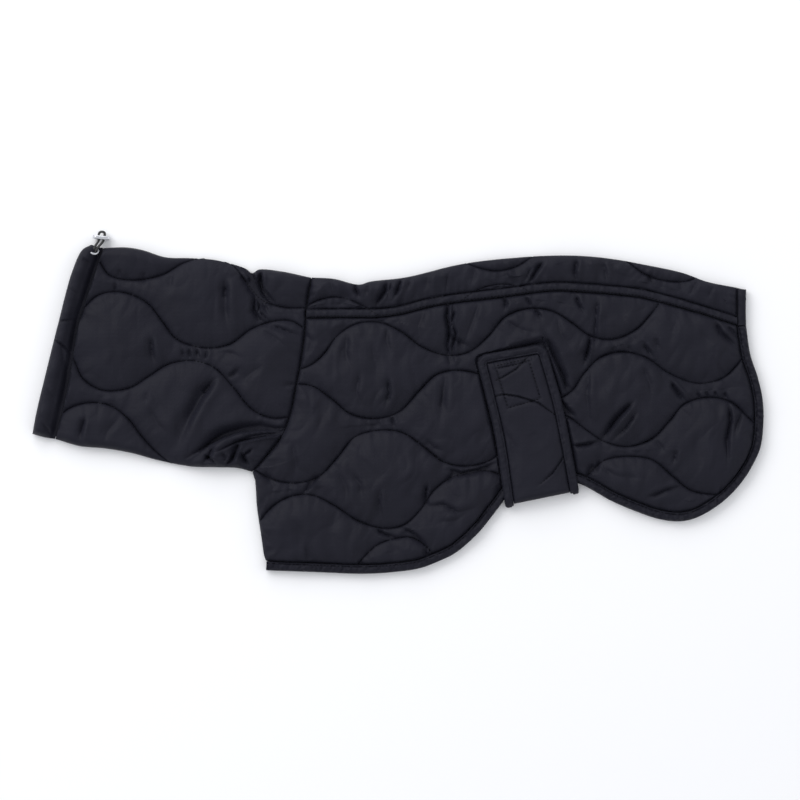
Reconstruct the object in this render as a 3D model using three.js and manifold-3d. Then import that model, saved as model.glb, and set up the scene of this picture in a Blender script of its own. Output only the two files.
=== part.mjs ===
// A quilted winter coat for a dachshund, laid flat on its left side.
//
// Millimetres, +Z up. The neck points to -X, the tail to +X and the spine to +Y. The far half of
// the coat lies flat on the surface at z = 0 and the near half lies on it. Each cut piece is a wall
// with a plain inside, and the near walls carry the quilting in their outer points.

import * as THREE from 'three';
import { mergeVertices } from 'three/addons/utils/BufferGeometryUtils.js';
import Module from 'manifold-3d';

const wasm = await Module();
wasm.setup();

const { clamp, lerp } = THREE.MathUtils;

// Heights of the layers
const FAR_WALL = 3.0;
const SEAM_GAP = 0.3;
const NEAR_INSIDE = FAR_WALL + SEAM_GAP;
const STITCHED_WALL = 2.7;
const STITCHED_TOP = NEAR_INSIDE + STITCHED_WALL;
const BINDING_TOP = 8.6;

// Quilting
const LOFT = 12;
const LOFT_REACH = 22;
const PUFF_POWER = 0.6;
const FOLD_ALLOWANCE = 25;

// Folded edges of the tube, the casing and the spine panel
const FOLD_RADIUS = 9;
const FOLD_HEIGHT = 4;
const FOLD_WALL = 4;
const FOLD_LOOPS = [{ inset: 1.2, z: 1.2 }, { inset: FOLD_WALL, z: 0 }];

// Bindings and band
const BINDING_WIDTH = 8;
const BAND_WIDTH = 7.2;
const BAND_TOP = 8.4;

// Mesh steps
const COLUMN_STEP = 8.4;
const SPINE_STEP = 7.4;
const CASING_STEP = 7;
const HEM_STEPS = 72;
const EDGE_STEP = 2.4;
const SEARCH_STEPS = 120;
const TANGENT_STEP = 0.003;
const EDGE_BOW = 0.3;
const WELD = 1e-4;

// Outlines of the cut pieces as they lie, from the neck end to the tail

const CASING_RIM = [
  { x: -275.4, y: 147.9 }, { x: -283.6, y: 143.4 }, { x: -292.7, y: 124.4 }, { x: -305.6, y: 76.7 },
  { x: -316.8, y: 31.7 }, { x: -325.4, y: -4.3 }, { x: -328.6, y: -22.2 },
];
const CASING_SEAM = [
  { x: -265.2, y: 144.9 }, { x: -270.4, y: 129.8 }, { x: -279.6, y: 101.9 }, { x: -286.9, y: 80.3 },
  { x: -293.9, y: 39.8 }, { x: -298.8, y: 12.8 }, { x: -308.4, y: -26.6 },
];
const NECK_TOP = [
  { x: -264.6, y: 144.9 }, { x: -244.8, y: 145.5 }, { x: -230.4, y: 143.3 }, { x: -208.8, y: 136.6 },
  { x: -187.2, y: 135.8 }, { x: -165.6, y: 134.3 }, { x: -146.7, y: 129.8 }, { x: -136.8, y: 126.2 },
  { x: -131.0, y: 122.3 }, { x: -125.1, y: 125.5 }, { x: -105.3, y: 124.0 }, { x: -78.0, y: 118.2 },
];
const NECK_BOTTOM = [
  { x: -307.8, y: -26.8 }, { x: -286.2, y: -33.1 }, { x: -262.8, y: -35.3 }, { x: -239.4, y: -39.4 },
  { x: -216.0, y: -45.7 }, { x: -185.4, y: -51.5 }, { x: -162.0, y: -52.2 }, { x: -144.0, y: -52.9 },
  { x: -131.0, y: -56.2 },
];
const NECK_SEAM = [
  { x: -78.0, y: 118.2 }, { x: -82.1, y: 95.6 }, { x: -83.7, y: 73.1 }, { x: -87.5, y: 43.4 },
  { x: -91.9, y: 20.9 }, { x: -96.4, y: -1.6 }, { x: -103.1, y: -20.5 }, { x: -114.4, y: -37.1 },
  { x: -131.0, y: -56.2 },
];
const CHEST_FRONT = [
  { x: -128.4, y: -64.0 }, { x: -126.9, y: -86.2 }, { x: -123.3, y: -111.4 }, { x: -119.6, y: -134.0 },
];
const SPINE_FOLD = [
  { x: -77.4, y: 118.4 }, { x: -57.6, y: 117.2 }, { x: -35.1, y: 112.0 }, { x: -25.2, y: 114.7 },
  { x: 7.2, y: 118.6 }, { x: 50.4, y: 129.1 }, { x: 73.8, y: 133.0 }, { x: 104.4, y: 136.1 },
  { x: 138.6, y: 138.1 }, { x: 167.4, y: 137.7 }, { x: 194.4, y: 134.8 }, { x: 223.2, y: 129.6 },
  { x: 255.6, y: 122.6 }, { x: 277.2, y: 114.8 }, { x: 304.6, y: 109.2 },
];
const SPINE_SEAM = [
  { x: -82.6, y: 82.1 }, { x: -42.3, y: 82.6 }, { x: -20.7, y: 82.6 }, { x: 1.8, y: 85.3 },
  { x: 24.3, y: 91.1 }, { x: 46.8, y: 95.2 }, { x: 91.8, y: 100.6 }, { x: 139.5, y: 106.4 },
  { x: 167.4, y: 105.3 }, { x: 187.2, y: 103.7 }, { x: 217.8, y: 100.6 }, { x: 234.9, y: 96.5 },
  { x: 270.0, y: 86.6 }, { x: 304.6, y: 75.6 },
];
const HEM = [
  { x: -118.4, y: -144.7 }, { x: -97.2, y: -145.6 }, { x: -73.8, y: -146.4 }, { x: -31.5, y: -147.9 },
  { x: -5.4, y: -146.5 }, { x: 19.8, y: -142.9 }, { x: 37.8, y: -136.1 }, { x: 51.3, y: -129.4 },
  { x: 72.0, y: -111.4 }, { x: 89.1, y: -90.2 }, { x: 102.6, y: -73.6 }, { x: 123.3, y: -64.6 },
  { x: 145.8, y: -63.2 }, { x: 163.8, y: -67.3 }, { x: 192.2, y: -82.6 }, { x: 213.3, y: -91.6 },
  { x: 234.9, y: -98.8 }, { x: 252.9, y: -100.8 }, { x: 267.3, y: -97.9 }, { x: 288.0, y: -86.2 },
  { x: 304.2, y: -71.3 }, { x: 316.8, y: -53.8 }, { x: 325.8, y: -34.0 }, { x: 328.5, y: -9.7 },
  { x: 327.8, y: 8.3 }, { x: 323.4, y: 28.6 }, { x: 316.8, y: 48.8 }, { x: 312.8, y: 75.0 },
];
const HEM_TURN = 0.8;
const NECK_SEAM_SHIFT = 0.6;
const SIDE_SEAM_FROM = 0.21;
const TAIL_EDGE = [{ x: 312.9, y: 107.6 }, { x: 312.8, y: 75.6 }];

// Quilting lines: the points where each wave turns, with a cosine between them

const BODY_WAVES = [
  [
    { x: -97, y: 34 }, { x: -19.8, y: 77.1 }, { x: 47.2, y: 46.6 }, { x: 126, y: 89.7 },
    { x: 189, y: 63.4 }, { x: 266, y: 115.4 }, { x: 340, y: 85 },
  ],
  [
    { x: -99, y: 23.6 }, { x: -22.9, y: -7.9 }, { x: 64.8, y: 34.9 }, { x: 132.3, y: 6.5 },
    { x: 202.5, y: 51.1 }, { x: 271.8, y: 23.6 }, { x: 339, y: 62.3 },
  ],
  [
    { x: -156, y: -41.2 }, { x: -93.1, y: -67.3 }, { x: -12.2, y: -19.3 }, { x: 61.2, y: -51.1 },
    { x: 137, y: -4.3 }, { x: 211.5, y: -32.6 }, { x: 280.8, y: 10.1 }, { x: 348, y: -23 },
  ],
  [
    { x: -147, y: -118 }, { x: -82.8, y: -77.2 }, { x: -12.2, y: -106 }, { x: 76.5, y: -55.1 },
    { x: 141, y: -82 }, { x: 206, y: -42.5 }, { x: 280.8, y: -76.3 }, { x: 348, y: -37 },
  ],
  [{ x: -57, y: -149 }, { x: 9, y: -115.9 }, { x: 65, y: -149 }],
];
const SPINE_WAVES = [
  [
    { x: 7, y: 150 }, { x: 87.3, y: 124.2 }, { x: 168, y: 155 }, { x: 247, y: 114.5 },
    { x: 330, y: 140 },
  ],
  [
    { x: -130, y: 70 }, { x: -56.7, y: 99.2 }, { x: 19, y: 72 }, { x: 94.5, y: 112.3 },
    { x: 170, y: 80 },
  ],
];
const NECK_WAVES = [
  [{ x: -291, y: 132.5 }, { x: -234.9, y: 115.8 }, { x: -171.9, y: 136.6 }, { x: -92.7, y: 89.3 }],
  [
    { x: -322, y: 89.3 }, { x: -253.8, y: 104.9 }, { x: -172.8, y: 55.1 }, { x: -101.7, y: 79.4 },
    { x: -43, y: 58 },
  ],
  [{ x: -326, y: 75.8 }, { x: -253.8, y: 16.4 }, { x: -188.1, y: 43.7 }, { x: -103.5, y: -8.3 }],
  [{ x: -331, y: -18.7 }, { x: -273.6, y: 5.6 }, { x: -187, y: -54.7 }],
];

// Largest creases: troughs pressed into the near walls

const CREASES = [
  { x0: -131, y0: 123, x1: -127, y1: 98, depth: 5.5, width: 4.5 },
  { x0: -103, y0: -17, x1: -170, y1: -36, depth: 5.0, width: 4.5 },
  { x0: -148, y0: -27, x1: -183, y1: -50, depth: 3.5, width: 5 },
  { x0: -157, y0: 112, x1: -152, y1: 72, depth: 2.5, width: 7 },
  { x0: -36, y0: 112, x1: -34, y1: 94, depth: 3.5, width: 4.5 },
  { x0: -10, y0: 114, x1: -20, y1: 92, depth: 3.0, width: 4.5 },
  { x0: 47, y0: 90, x1: 49, y1: 40, depth: 3.0, width: 4.5 },
  { x0: 112, y0: 112, x1: 129, y1: 131, depth: 3.0, width: 4.5 },
  { x0: 173, y0: 98, x1: 169, y1: 44, depth: 2.5, width: 5 },
  { x0: 299, y0: 4, x1: 296, y1: -40, depth: 2.5, width: 5 },
];

// Belly strap
const STRAP_LEFT = [
  { x: 69.8, y: 47.9 }, { x: 79.2, y: 9.6 }, { x: 87.5, y: -26.8 }, { x: 96.3, y: -86.6 },
];
const STRAP_RIGHT = [
  { x: 131.4, y: 59.2 }, { x: 146.0, y: 9.6 }, { x: 151.6, y: -16.0 }, { x: 162.5, y: -73.1 },
];
const STRAP_INSIDE = 8.9;
const STRAP_WALL = 2.4;
const STRAP_LOFT = 2.6;
const STRAP_ROLL = 4.6;
const STRAP_EDGE = 1.4;
const STRAP_HALF_WIDTH = 37;
const STRAP_MARGIN = 3.5;
const STRAP_PRESS_SLOPE = 0.45;
const STRAP_FAR_LEG = 26;
const STRAP_BORDER = 8;

// Neck drawcord, its eyelet and its stopper
const EYELET = { x: -273.2, y: 142.6, z: 8.2 };
const EYELET_FACING = new THREE.Vector3(0.34, 0.62, 0.7).normalize();
const EYELET_RING = 4.1;
const EYELET_SECTION = 1.15;
const CORD_DIAMETER = 1.8;
const STOPPER = { x: -266.4, y: 154.2, z: 4.2 };
const STOPPER_LENGTH = 16;
const STOPPER_HEIGHT = 7.6;
const STOPPER_THICKNESS = 3.4;
const STOPPER_TURN = -0.11;
const STOPPER_HOLE = 1.25;
const STOPPER_HOLE_OFFSET = 2.2;
const STOPPER_BEVEL = 0.7;

const MATERIALS = {
  shell: new THREE.MeshStandardMaterial({ color: 0x26262c, roughness: 0.62, metalness: 0 }),
  binding: new THREE.MeshStandardMaterial({ color: 0x212127, roughness: 0.7, metalness: 0 }),
  cord: new THREE.MeshStandardMaterial({ color: 0x17171b, roughness: 0.85, metalness: 0 }),
  chrome: new THREE.MeshStandardMaterial({ color: 0xd4d6da, roughness: 0.18, metalness: 1 }),
};

// Curves and patches

function plan({ x, y }) {
  return new THREE.Vector3(x, y, 0);
}

function curveThrough(rows) {
  const curve = new THREE.CatmullRomCurve3(rows.map(plan), false, 'centripetal');
  return (t) => curve.getPointAt(clamp(t, 0, 1));
}

// A nearly straight edge, bent to the left of its direction by a small bow.
function edgeBetween(from, to, bow = EDGE_BOW) {
  const along = plan(to).sub(plan(from));
  const middle = plan(from).addScaledVector(along, 0.5);
  along.normalize();
  return curveThrough([from, middle.add(new THREE.Vector3(-along.y, along.x, 0).multiplyScalar(bow)), to]);
}

function reversed(curve) {
  return (t) => curve(1 - t);
}

function stretchOf(curve, from, to) {
  return (t) => curve(lerp(from, to, t));
}

function sampled(curve, count) {
  return Array.from({ length: count + 1 }, (_, i) => curve(i / count));
}

// The point at a distance to the left of a curve's direction.
function inwardsFrom(curve, t, distance) {
  const along = curve(t + TANGENT_STEP).sub(curve(t - TANGENT_STEP)).normalize();
  return curve(t).add(new THREE.Vector3(-along.y, along.x, 0).multiplyScalar(distance));
}

function movedInwards(curve, distance) {
  const count = 160;
  return curveThrough(Array.from({ length: count + 1 }, (_, i) => inwardsFrom(curve, i / count, distance)));
}

// A plan region between four curves: u runs along it and v runs from its upper to its lower curve.
function patchBetween(upper, lower, start, end) {
  const corners = [upper(0), upper(1), lower(0), lower(1)];
  return (u, v) => {
    const along = upper(u).multiplyScalar(1 - v).addScaledVector(lower(u), v);
    const across = start(v).multiplyScalar(1 - u).addScaledVector(end(v), u);
    return along.add(across)
      .addScaledVector(corners[0], -(1 - u) * (1 - v))
      .addScaledVector(corners[1], -u * (1 - v))
      .addScaledVector(corners[2], -(1 - u) * v)
      .addScaledVector(corners[3], -u * v);
  };
}

// Quilting

function waveThrough(turns) {
  return (x) => {
    let k = 0;
    while (k < turns.length - 2 && x > turns[k + 1].x) k += 1;
    const [from, to] = [turns[k], turns[k + 1]];
    const t = clamp((x - from.x) / (to.x - from.x), 0, 1);
    return lerp(from.y, to.y, (1 - Math.cos(Math.PI * t)) / 2);
  };
}

function distanceFromWave(wave, { x, y }) {
  const slope = wave(x + 0.5) - wave(x - 0.5);
  return (y - wave(x)) / Math.hypot(1, slope);
}

// How far the padding stands above the stitching, between the lines and the edges of the panel.
function quiltPuff(point, edges, waves, loft = LOFT) {
  let { above, below } = edges;
  for (const wave of waves) {
    const offset = distanceFromWave(wave, point);
    if (offset >= 0) below = Math.min(below, offset);
    else above = Math.min(above, -offset);
  }
  const half = (above + below) / 2;
  const inward = Math.min(1, Math.min(above, below, edges.side) / half);
  const crown = loft * (1 - Math.exp(-half / LOFT_REACH));
  return crown * (1 - (1 - inward) ** 2) ** PUFF_POWER;
}

function creaseDepth({ x, y }) {
  let depth = 0;
  for (const crease of CREASES) {
    const along = new THREE.Vector2(crease.x1 - crease.x0, crease.y1 - crease.y0);
    const from = new THREE.Vector2(x - crease.x0, y - crease.y0);
    const t = clamp(from.dot(along) / along.lengthSq(), 0, 1);
    const away = from.addScaledVector(along, -t).length();
    depth += crease.depth * (1 - 0.6 * t) * Math.exp(-((away / crease.width) ** 2));
  }
  return depth;
}

// Solids

class Skin {
  constructor() {
    this.points = [];
    this.faces = [];
  }

  add(point) {
    this.points.push(point);
    return this.points.length - 1;
  }

  quad(a, b, c, d) {
    this.faces.push(a, b, c, a, c, d);
  }

  // Walls going down from one loop to the next; loops run anticlockwise seen from above.
  wall(upper, lower) {
    upper.forEach((a, i) => {
      const next = (i + 1) % upper.length;
      this.quad(a, lower[i], lower[next], upper[next]);
    });
  }

  cap(loop, facingUp, flatten = (p) => new THREE.Vector2(p.x, p.y)) {
    const contour = loop.map((i) => flatten(this.points[i]));
    const { area } = THREE.ShapeUtils;
    for (const [a, b, c] of THREE.ShapeUtils.triangulateShape(contour, [])) {
      const sameTurn = area([contour[a], contour[b], contour[c]]) > 0 === area(contour) > 0;
      if (sameTurn === facingUp) this.faces.push(loop[a], loop[b], loop[c]);
      else this.faces.push(loop[c], loop[b], loop[a]);
    }
  }

  geometry() {
    const geometry = new THREE.BufferGeometry();
    const numbers = this.points.flatMap((p) => [p.x, p.y, p.z]);
    geometry.setAttribute('position', new THREE.Float32BufferAttribute(numbers, 3));
    geometry.setIndex(this.faces);
    return geometry;
  }
}

function solidOf(geometry) {
  const bare = geometry.clone();
  bare.deleteAttribute('normal');
  bare.deleteAttribute('uv');
  const merged = mergeVertices(bare, WELD);
  return new wasm.Manifold(new wasm.Mesh({
    numProp: 3,
    vertProperties: Float32Array.from(merged.attributes.position.array),
    triVerts: Uint32Array.from(merged.index.array),
  }));
}

function geometryOf(solid) {
  const mesh = solid.getMesh();
  const geometry = new THREE.BufferGeometry();
  geometry.setAttribute('position', new THREE.BufferAttribute(Float32Array.from(mesh.vertProperties), 3));
  geometry.setIndex(new THREE.BufferAttribute(Uint32Array.from(mesh.triVerts), 1));
  return geometry;
}

function slab(outline, low, high) {
  const shape = new THREE.Shape(outline.map(({ x, y }) => new THREE.Vector2(x, y)));
  const geometry = new THREE.ExtrudeGeometry(shape, { depth: high - low, bevelEnabled: false });
  return geometry.translate(0, 0, low);
}

// Even steps with one narrow step at each end, as fractions of a length.
function stepsOver(length, step) {
  const edge = EDGE_STEP / length;
  const count = Math.max(2, Math.round(length / step));
  const inner = Array.from({ length: count - 1 }, (_, i) => (i + 1) / count);
  return [0, edge, ...inner, 1 - edge, 1];
}

// The rows of one column, with the nearest row moved onto each quilting line that it crosses.
function rowsOnWaves(place, u, fractions, waves) {
  const rows = fractions.map((v) => ({ v, wave: null }));
  const column = Array.from({ length: SEARCH_STEPS + 1 }, (_, s) => place(u, s / SEARCH_STEPS));
  waves.forEach((wave, k) => {
    for (let s = 0; s < SEARCH_STEPS; s += 1) {
      const [before, after] = [column[s], column[s + 1]].map((p) => p.y - wave(p.x));
      if (before > 0 === after > 0) continue;
      const v = (s + before / (before - after)) / SEARCH_STEPS;
      let nearest = 2;
      for (let j = 2; j < rows.length - 2; j += 1) {
        if (Math.abs(fractions[j] - v) < Math.abs(fractions[nearest] - v)) nearest = j;
      }
      const inRange = v > fractions[1] && v < fractions[fractions.length - 2];
      if (inRange && rows[nearest].wave === null) rows[nearest] = { v, wave: k };
    }
  });
  return rows;
}

// A closed wall: a quilted upper skin, then loops down to a flat underside.
// Folded edges draw the lower loops in; cut edges go straight down.
function wallSolid({ place, length, width, step = COLUMN_STEP, waves = [], top, loops, folds }) {
  const skin = new Skin();
  const columns = stepsOver(length, step);
  const fractions = stepsOver(width, step);
  const grid = columns.map((u) => rowsOnWaves(place, u, fractions, waves).map(({ v, wave }) => {
    const point = place(u, v);
    const across = place(u, 0).distanceTo(place(u, 1));
    point.z = top(point, { u, v, across });
    return { u, v, wave, across, index: skin.add(point) };
  }));
  const last = fractions.length - 1;
  for (let i = 0; i < columns.length - 1; i += 1) {
    for (let j = 0; j < last; j += 1) {
      const [a, b, c, d] = [grid[i][j], grid[i + 1][j], grid[i + 1][j + 1], grid[i][j + 1]];
      const rising = d.wave !== null && d.wave === b.wave;
      if (rising) skin.quad(b.index, a.index, d.index, c.index);
      else skin.quad(a.index, d.index, c.index, b.index);
    }
  }
  const edge = [
    ...grid[0].slice(0, last),
    ...grid.slice(0, -1).map((column) => column[last]),
    ...grid.at(-1).slice(1).reverse(),
    ...grid.slice(1).reverse().map((column) => column[0]),
  ];
  let upper = edge.map(({ index }) => index);
  for (const { inset, z } of loops) {
    const lower = edge.map(({ u, v, across }) => {
      const first = folds.upper ? inset / across : 0;
      const final = folds.lower ? inset / across : 0;
      const point = place(u, lerp(first, 1 - final, v));
      point.z = z;
      return skin.add(point);
    });
    skin.wall(upper, lower);
    upper = lower;
  }
  skin.cap(upper, false);
  return skin.geometry();
}

// The thin space between the near and far walls, open past the chosen edges.
function slotOf(place, length, width, { start, end, upper, lower }) {
  const count = Math.round(length / COLUMN_STEP);
  const rows = Math.round(width / COLUMN_STEP);
  const at = (u, v) => {
    const across = place(u, 0).distanceTo(place(u, 1));
    const point = place(u, lerp(upper / across, 1 - lower / across, v));
    const reach = u === 0 ? start : u === 1 ? end : 0;
    const outwards = point.clone().sub(place(u === 0 ? 0.02 : 0.98, v));
    outwards.z = 0;
    return reach ? point.addScaledVector(outwards.normalize(), reach) : point;
  };
  const outline = [
    ...Array.from({ length: rows }, (_, j) => at(0, j / rows)),
    ...Array.from({ length: count }, (_, i) => at(i / count, 1)),
    ...Array.from({ length: rows }, (_, j) => at(1, 1 - j / rows)),
    ...Array.from({ length: count }, (_, i) => at(1 - i / count, 0)),
  ];
  return slab(outline, FAR_WALL, NEAR_INSIDE);
}

function cut(geometry, ...tools) {
  let solid = solidOf(geometry);
  for (const tool of tools) solid = solid.subtract(solidOf(tool));
  return geometryOf(solid);
}

// Sections joined into a closed body; each ring is anticlockwise seen from the path's end.
function loft(rings, flatten) {
  const skin = new Skin();
  const loops = rings.map((ring) => ring.map((point) => skin.add(point)));
  for (let i = 0; i < loops.length - 1; i += 1) skin.wall(loops[i + 1], loops[i]);
  skin.cap(loops[0], false, flatten);
  skin.cap(loops.at(-1), true, flatten);
  return skin.geometry();
}

function roundedAtFold(z, distance) {
  if (distance >= FOLD_RADIUS) return z;
  const rise = Math.sqrt(1 - (1 - Math.max(0, distance) / FOLD_RADIUS) ** 2);
  return FOLD_HEIGHT + (z - FOLD_HEIGHT) * rise;
}

// Neck tube

const neckTop = curveThrough(NECK_TOP);
const neckBottom = curveThrough(NECK_BOTTOM);
const neckSeam = curveThrough(NECK_SEAM);
const casingSeam = curveThrough(CASING_SEAM);
const neckWaves = NECK_WAVES.map(waveThrough);
const bodyWaves = BODY_WAVES.map(waveThrough);
const spineWaves = SPINE_WAVES.map(waveThrough);

function shifted(curve, dx, dy = 0) {
  return (t) => curve(t).add(new THREE.Vector3(dx, dy, 0));
}

function neckTube() {
  const length = 190;
  const width = 174;
  const start = curveThrough([NECK_TOP[0], ...CASING_SEAM.slice(1, -1).map(({ x, y }) => (
    { x: x + 0.6, y })), NECK_BOTTOM[0]]);
  const place = patchBetween(neckTop, neckBottom, start, neckSeam);
  const top = (point, { u, v, across }) => {
    const edges = {
      above: v * across + FOLD_ALLOWANCE,
      below: (1 - v) * across + FOLD_ALLOWANCE,
      side: Math.min(u, 1 - u) * length,
    };
    const puffed = STITCHED_TOP + quiltPuff(point, edges, neckWaves);
    const creased = Math.max(STITCHED_TOP - 0.5, puffed - creaseDepth(point));
    return roundedAtFold(creased, Math.min(v, 1 - v) * across);
  };
  const shell = wallSolid({
    place, length, width, waves: neckWaves, top, loops: FOLD_LOOPS, folds: { upper: true, lower: true },
  });
  const open = { start: 3, end: 3, upper: FOLD_WALL, lower: FOLD_WALL };
  return cut(shell, slotOf(place, length, width, open));
}

// Casing for the drawcord, folded over at the neck's end

function neckCasing() {
  const length = 20;
  const width = 176;
  const rim = curveThrough(CASING_RIM);
  const upper = edgeBetween(CASING_RIM[0], CASING_SEAM[0], -EDGE_BOW);
  const lower = curveThrough([CASING_RIM.at(-1), { x: -318, y: -25.2 }, CASING_SEAM.at(-1)]);
  const place = patchBetween(upper, lower, rim, casingSeam);
  const top = (point, { u, v, across }) => {
    const roll = Math.sqrt(Math.max(0, 1 - (2 * u - 1) ** 2));
    const base = lerp(FOLD_HEIGHT, STITCHED_TOP, u);
    return roundedAtFold(base + 5.2 * roll, Math.min(v, 1 - v) * across);
  };
  const shell = wallSolid({
    place, length, width, step: CASING_STEP, top, loops: FOLD_LOOPS, folds: { upper: true, lower: true },
  });
  const open = { start: 3, end: 3, upper: FOLD_WALL, lower: FOLD_WALL };
  return cut(shell, slotOf(place, length, width, open), ...eyeletPockets());
}

// Spine panel, folded over the back

function spinePanel() {
  const length = 386;
  const width = 34;
  const upper = curveThrough(SPINE_FOLD);
  const lower = shifted(curveThrough(SPINE_SEAM), 0, SEAM_GAP / 2);
  const start = curveThrough([SPINE_FOLD[0], { x: -81.4, y: 95.6 }, lower(0)]);
  const end = edgeBetween(upper(1), lower(1), -EDGE_BOW);
  const place = patchBetween(upper, lower, start, end);
  const top = (point, { u, v, across }) => {
    const fromSeam = (1 - v) * across;
    const side = Math.min(u, 1 - u) * length;
    const edges = { above: v * across + FOLD_ALLOWANCE, below: Math.max(0, fromSeam - BAND_WIDTH), side };
    const puffed = STITCHED_TOP + quiltPuff(point, edges, spineWaves, 9) - creaseDepth(point);
    const inBand = fromSeam < BAND_WIDTH - 0.4;
    const z = inBand ? BAND_TOP : Math.max(STITCHED_TOP - 0.5, puffed);
    return roundedAtFold(z, v * across);
  };
  const shell = wallSolid({
    place, length, width, top, step: SPINE_STEP, waves: spineWaves, loops: FOLD_LOOPS,
    folds: { upper: true, lower: false },
  });
  const open = { start: 3, end: 3, upper: FOLD_WALL, lower: -3 };
  return cut(shell, slotOf(place, length, width, open));
}

function tailHem() {
  const inner = [{ x: 304.9, y: 109.1 }, { x: 304.9, y: 75.6 }];
  const place = patchBetween(
    edgeBetween(inner[0], TAIL_EDGE[0], -EDGE_BOW), edgeBetween(inner[1], TAIL_EDGE[1]),
    edgeBetween(inner[0], inner[1]), edgeBetween(TAIL_EDGE[0], TAIL_EDGE[1], -EDGE_BOW),
  );
  const top = (point, { u, v, across }) => {
    const roll = Math.sqrt(Math.max(0, 1 - (2 * u - 1) ** 2));
    return roundedAtFold(STITCHED_TOP + 2.6 * roll, v * across);
  };
  const shell = wallSolid({
    place, length: 8, width: 32, step: 4, top, loops: FOLD_LOOPS, folds: { upper: true, lower: false },
  });
  const open = { start: 3, end: 3, upper: FOLD_WALL, lower: -3 };
  return cut(shell, slotOf(place, 8, 32, open));
}

// Side panels and their hem bindings

const hem = curveThrough(HEM);

function sideRegion() {
  const inner = movedInwards(hem, BINDING_WIDTH + SEAM_GAP);
  const seam = curveThrough([...SPINE_SEAM.slice(0, -1), { x: inner(1).x, y: 75.4 }]);
  const upper = shifted(seam, 0, -SEAM_GAP);
  const alongNeck = sampled(stretchOf(shifted(neckSeam, NECK_SEAM_SHIFT), SIDE_SEAM_FROM, 1), 20);
  const start = curveThrough([upper(0), ...alongNeck, ...CHEST_FRONT, inner(0)]);
  const end = curveThrough([upper(1), ...sampled(stretchOf(reversed(inner), 0.012, 1 - HEM_TURN), 24)]);
  const lower = stretchOf(inner, 0, HEM_TURN);
  return patchBetween(upper, lower, start, end);
}

const sidePlace = sideRegion();
const SIDE_LENGTH = 410;
const SIDE_WIDTH = 200;

// Under the strap the padding is pressed down, and it rises again beside it.
function pressedByStrap(point) {
  const from = { x: 100.6, y: 53.5 };
  const along = new THREE.Vector2(28.8, -133.3).normalize();
  const offset = new THREE.Vector2(point.x - from.x, point.y - from.y);
  const beside = Math.abs(offset.cross(along)) - STRAP_HALF_WIDTH;
  const above = -offset.dot(along) - STRAP_MARGIN;
  const outside = Math.max(beside, above, 0);
  return STRAP_INSIDE - 0.5 + outside * STRAP_PRESS_SLOPE;
}

function nearSide() {
  const top = (point, { u, v, across }) => {
    const edges = {
      above: v * across,
      below: (1 - v) * across,
      side: Math.min(u, 1 - u) * SIDE_LENGTH,
    };
    const puffed = STITCHED_TOP + quiltPuff(point, edges, bodyWaves) - creaseDepth(point);
    return Math.min(Math.max(STITCHED_TOP - 0.5, puffed), pressedByStrap(point));
  };
  return wallSolid({
    place: sidePlace, length: SIDE_LENGTH, width: SIDE_WIDTH, waves: bodyWaves, top,
    loops: [{ inset: 0, z: NEAR_INSIDE }], folds: { upper: false, lower: false },
  });
}

function outlineOf(place, columns, rows) {
  return [
    ...Array.from({ length: rows }, (_, j) => place(0, j / rows)),
    ...Array.from({ length: columns }, (_, i) => place(i / columns, 1)),
    ...Array.from({ length: rows }, (_, j) => place(1, 1 - j / rows)),
    ...Array.from({ length: columns }, (_, i) => place(1 - i / columns, 0)),
  ];
}

function farSide() {
  return slab(outlineOf(sidePlace, 60, 24), 0, FAR_WALL);
}

const ROUND_SECTION = [
  { side: 1, rise: 0 }, { side: 1, rise: 0.5 }, { side: 0.82, rise: 0.9 }, { side: 0.5, rise: 1 },
  { side: 0.18, rise: 0.9 }, { side: 0, rise: 0.55 }, { side: 0, rise: 0 },
];
const FLAT_SECTION = [
  { side: 1, rise: 0 }, { side: 1, rise: 1 }, { side: 0, rise: 1 }, { side: 0, rise: 0.3 },
  { side: 0.08, rise: 0 },
];

function binding(section, low, high) {
  const rings = Array.from({ length: HEM_STEPS + 1 }, (_, i) => {
    const outside = hem(i / HEM_STEPS);
    const inside = inwardsFrom(hem, i / HEM_STEPS, BINDING_WIDTH);
    return section.map(({ side, rise }) => {
      const point = outside.clone().lerp(inside, side);
      point.z = lerp(low, high, rise);
      return point;
    });
  });
  const flatten = (point) => new THREE.Vector2(hem(0).distanceTo(plan(point)), point.z);
  return loft(rings, flatten);
}

// Belly strap: it comes from the far hem, turns up below the near hem and lies on the near side

const strapLeft = curveThrough(STRAP_LEFT);
const strapRight = curveThrough(STRAP_RIGHT);
const STRAP_LENGTH = 137;
const STRAP_WIDTH = 68;
const STRAP_TURN = 6;

function strapPlace(across, along) {
  const t = clamp(along / STRAP_LENGTH, 0, 1);
  return strapLeft(t).lerp(strapRight(t), across);
}

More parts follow.
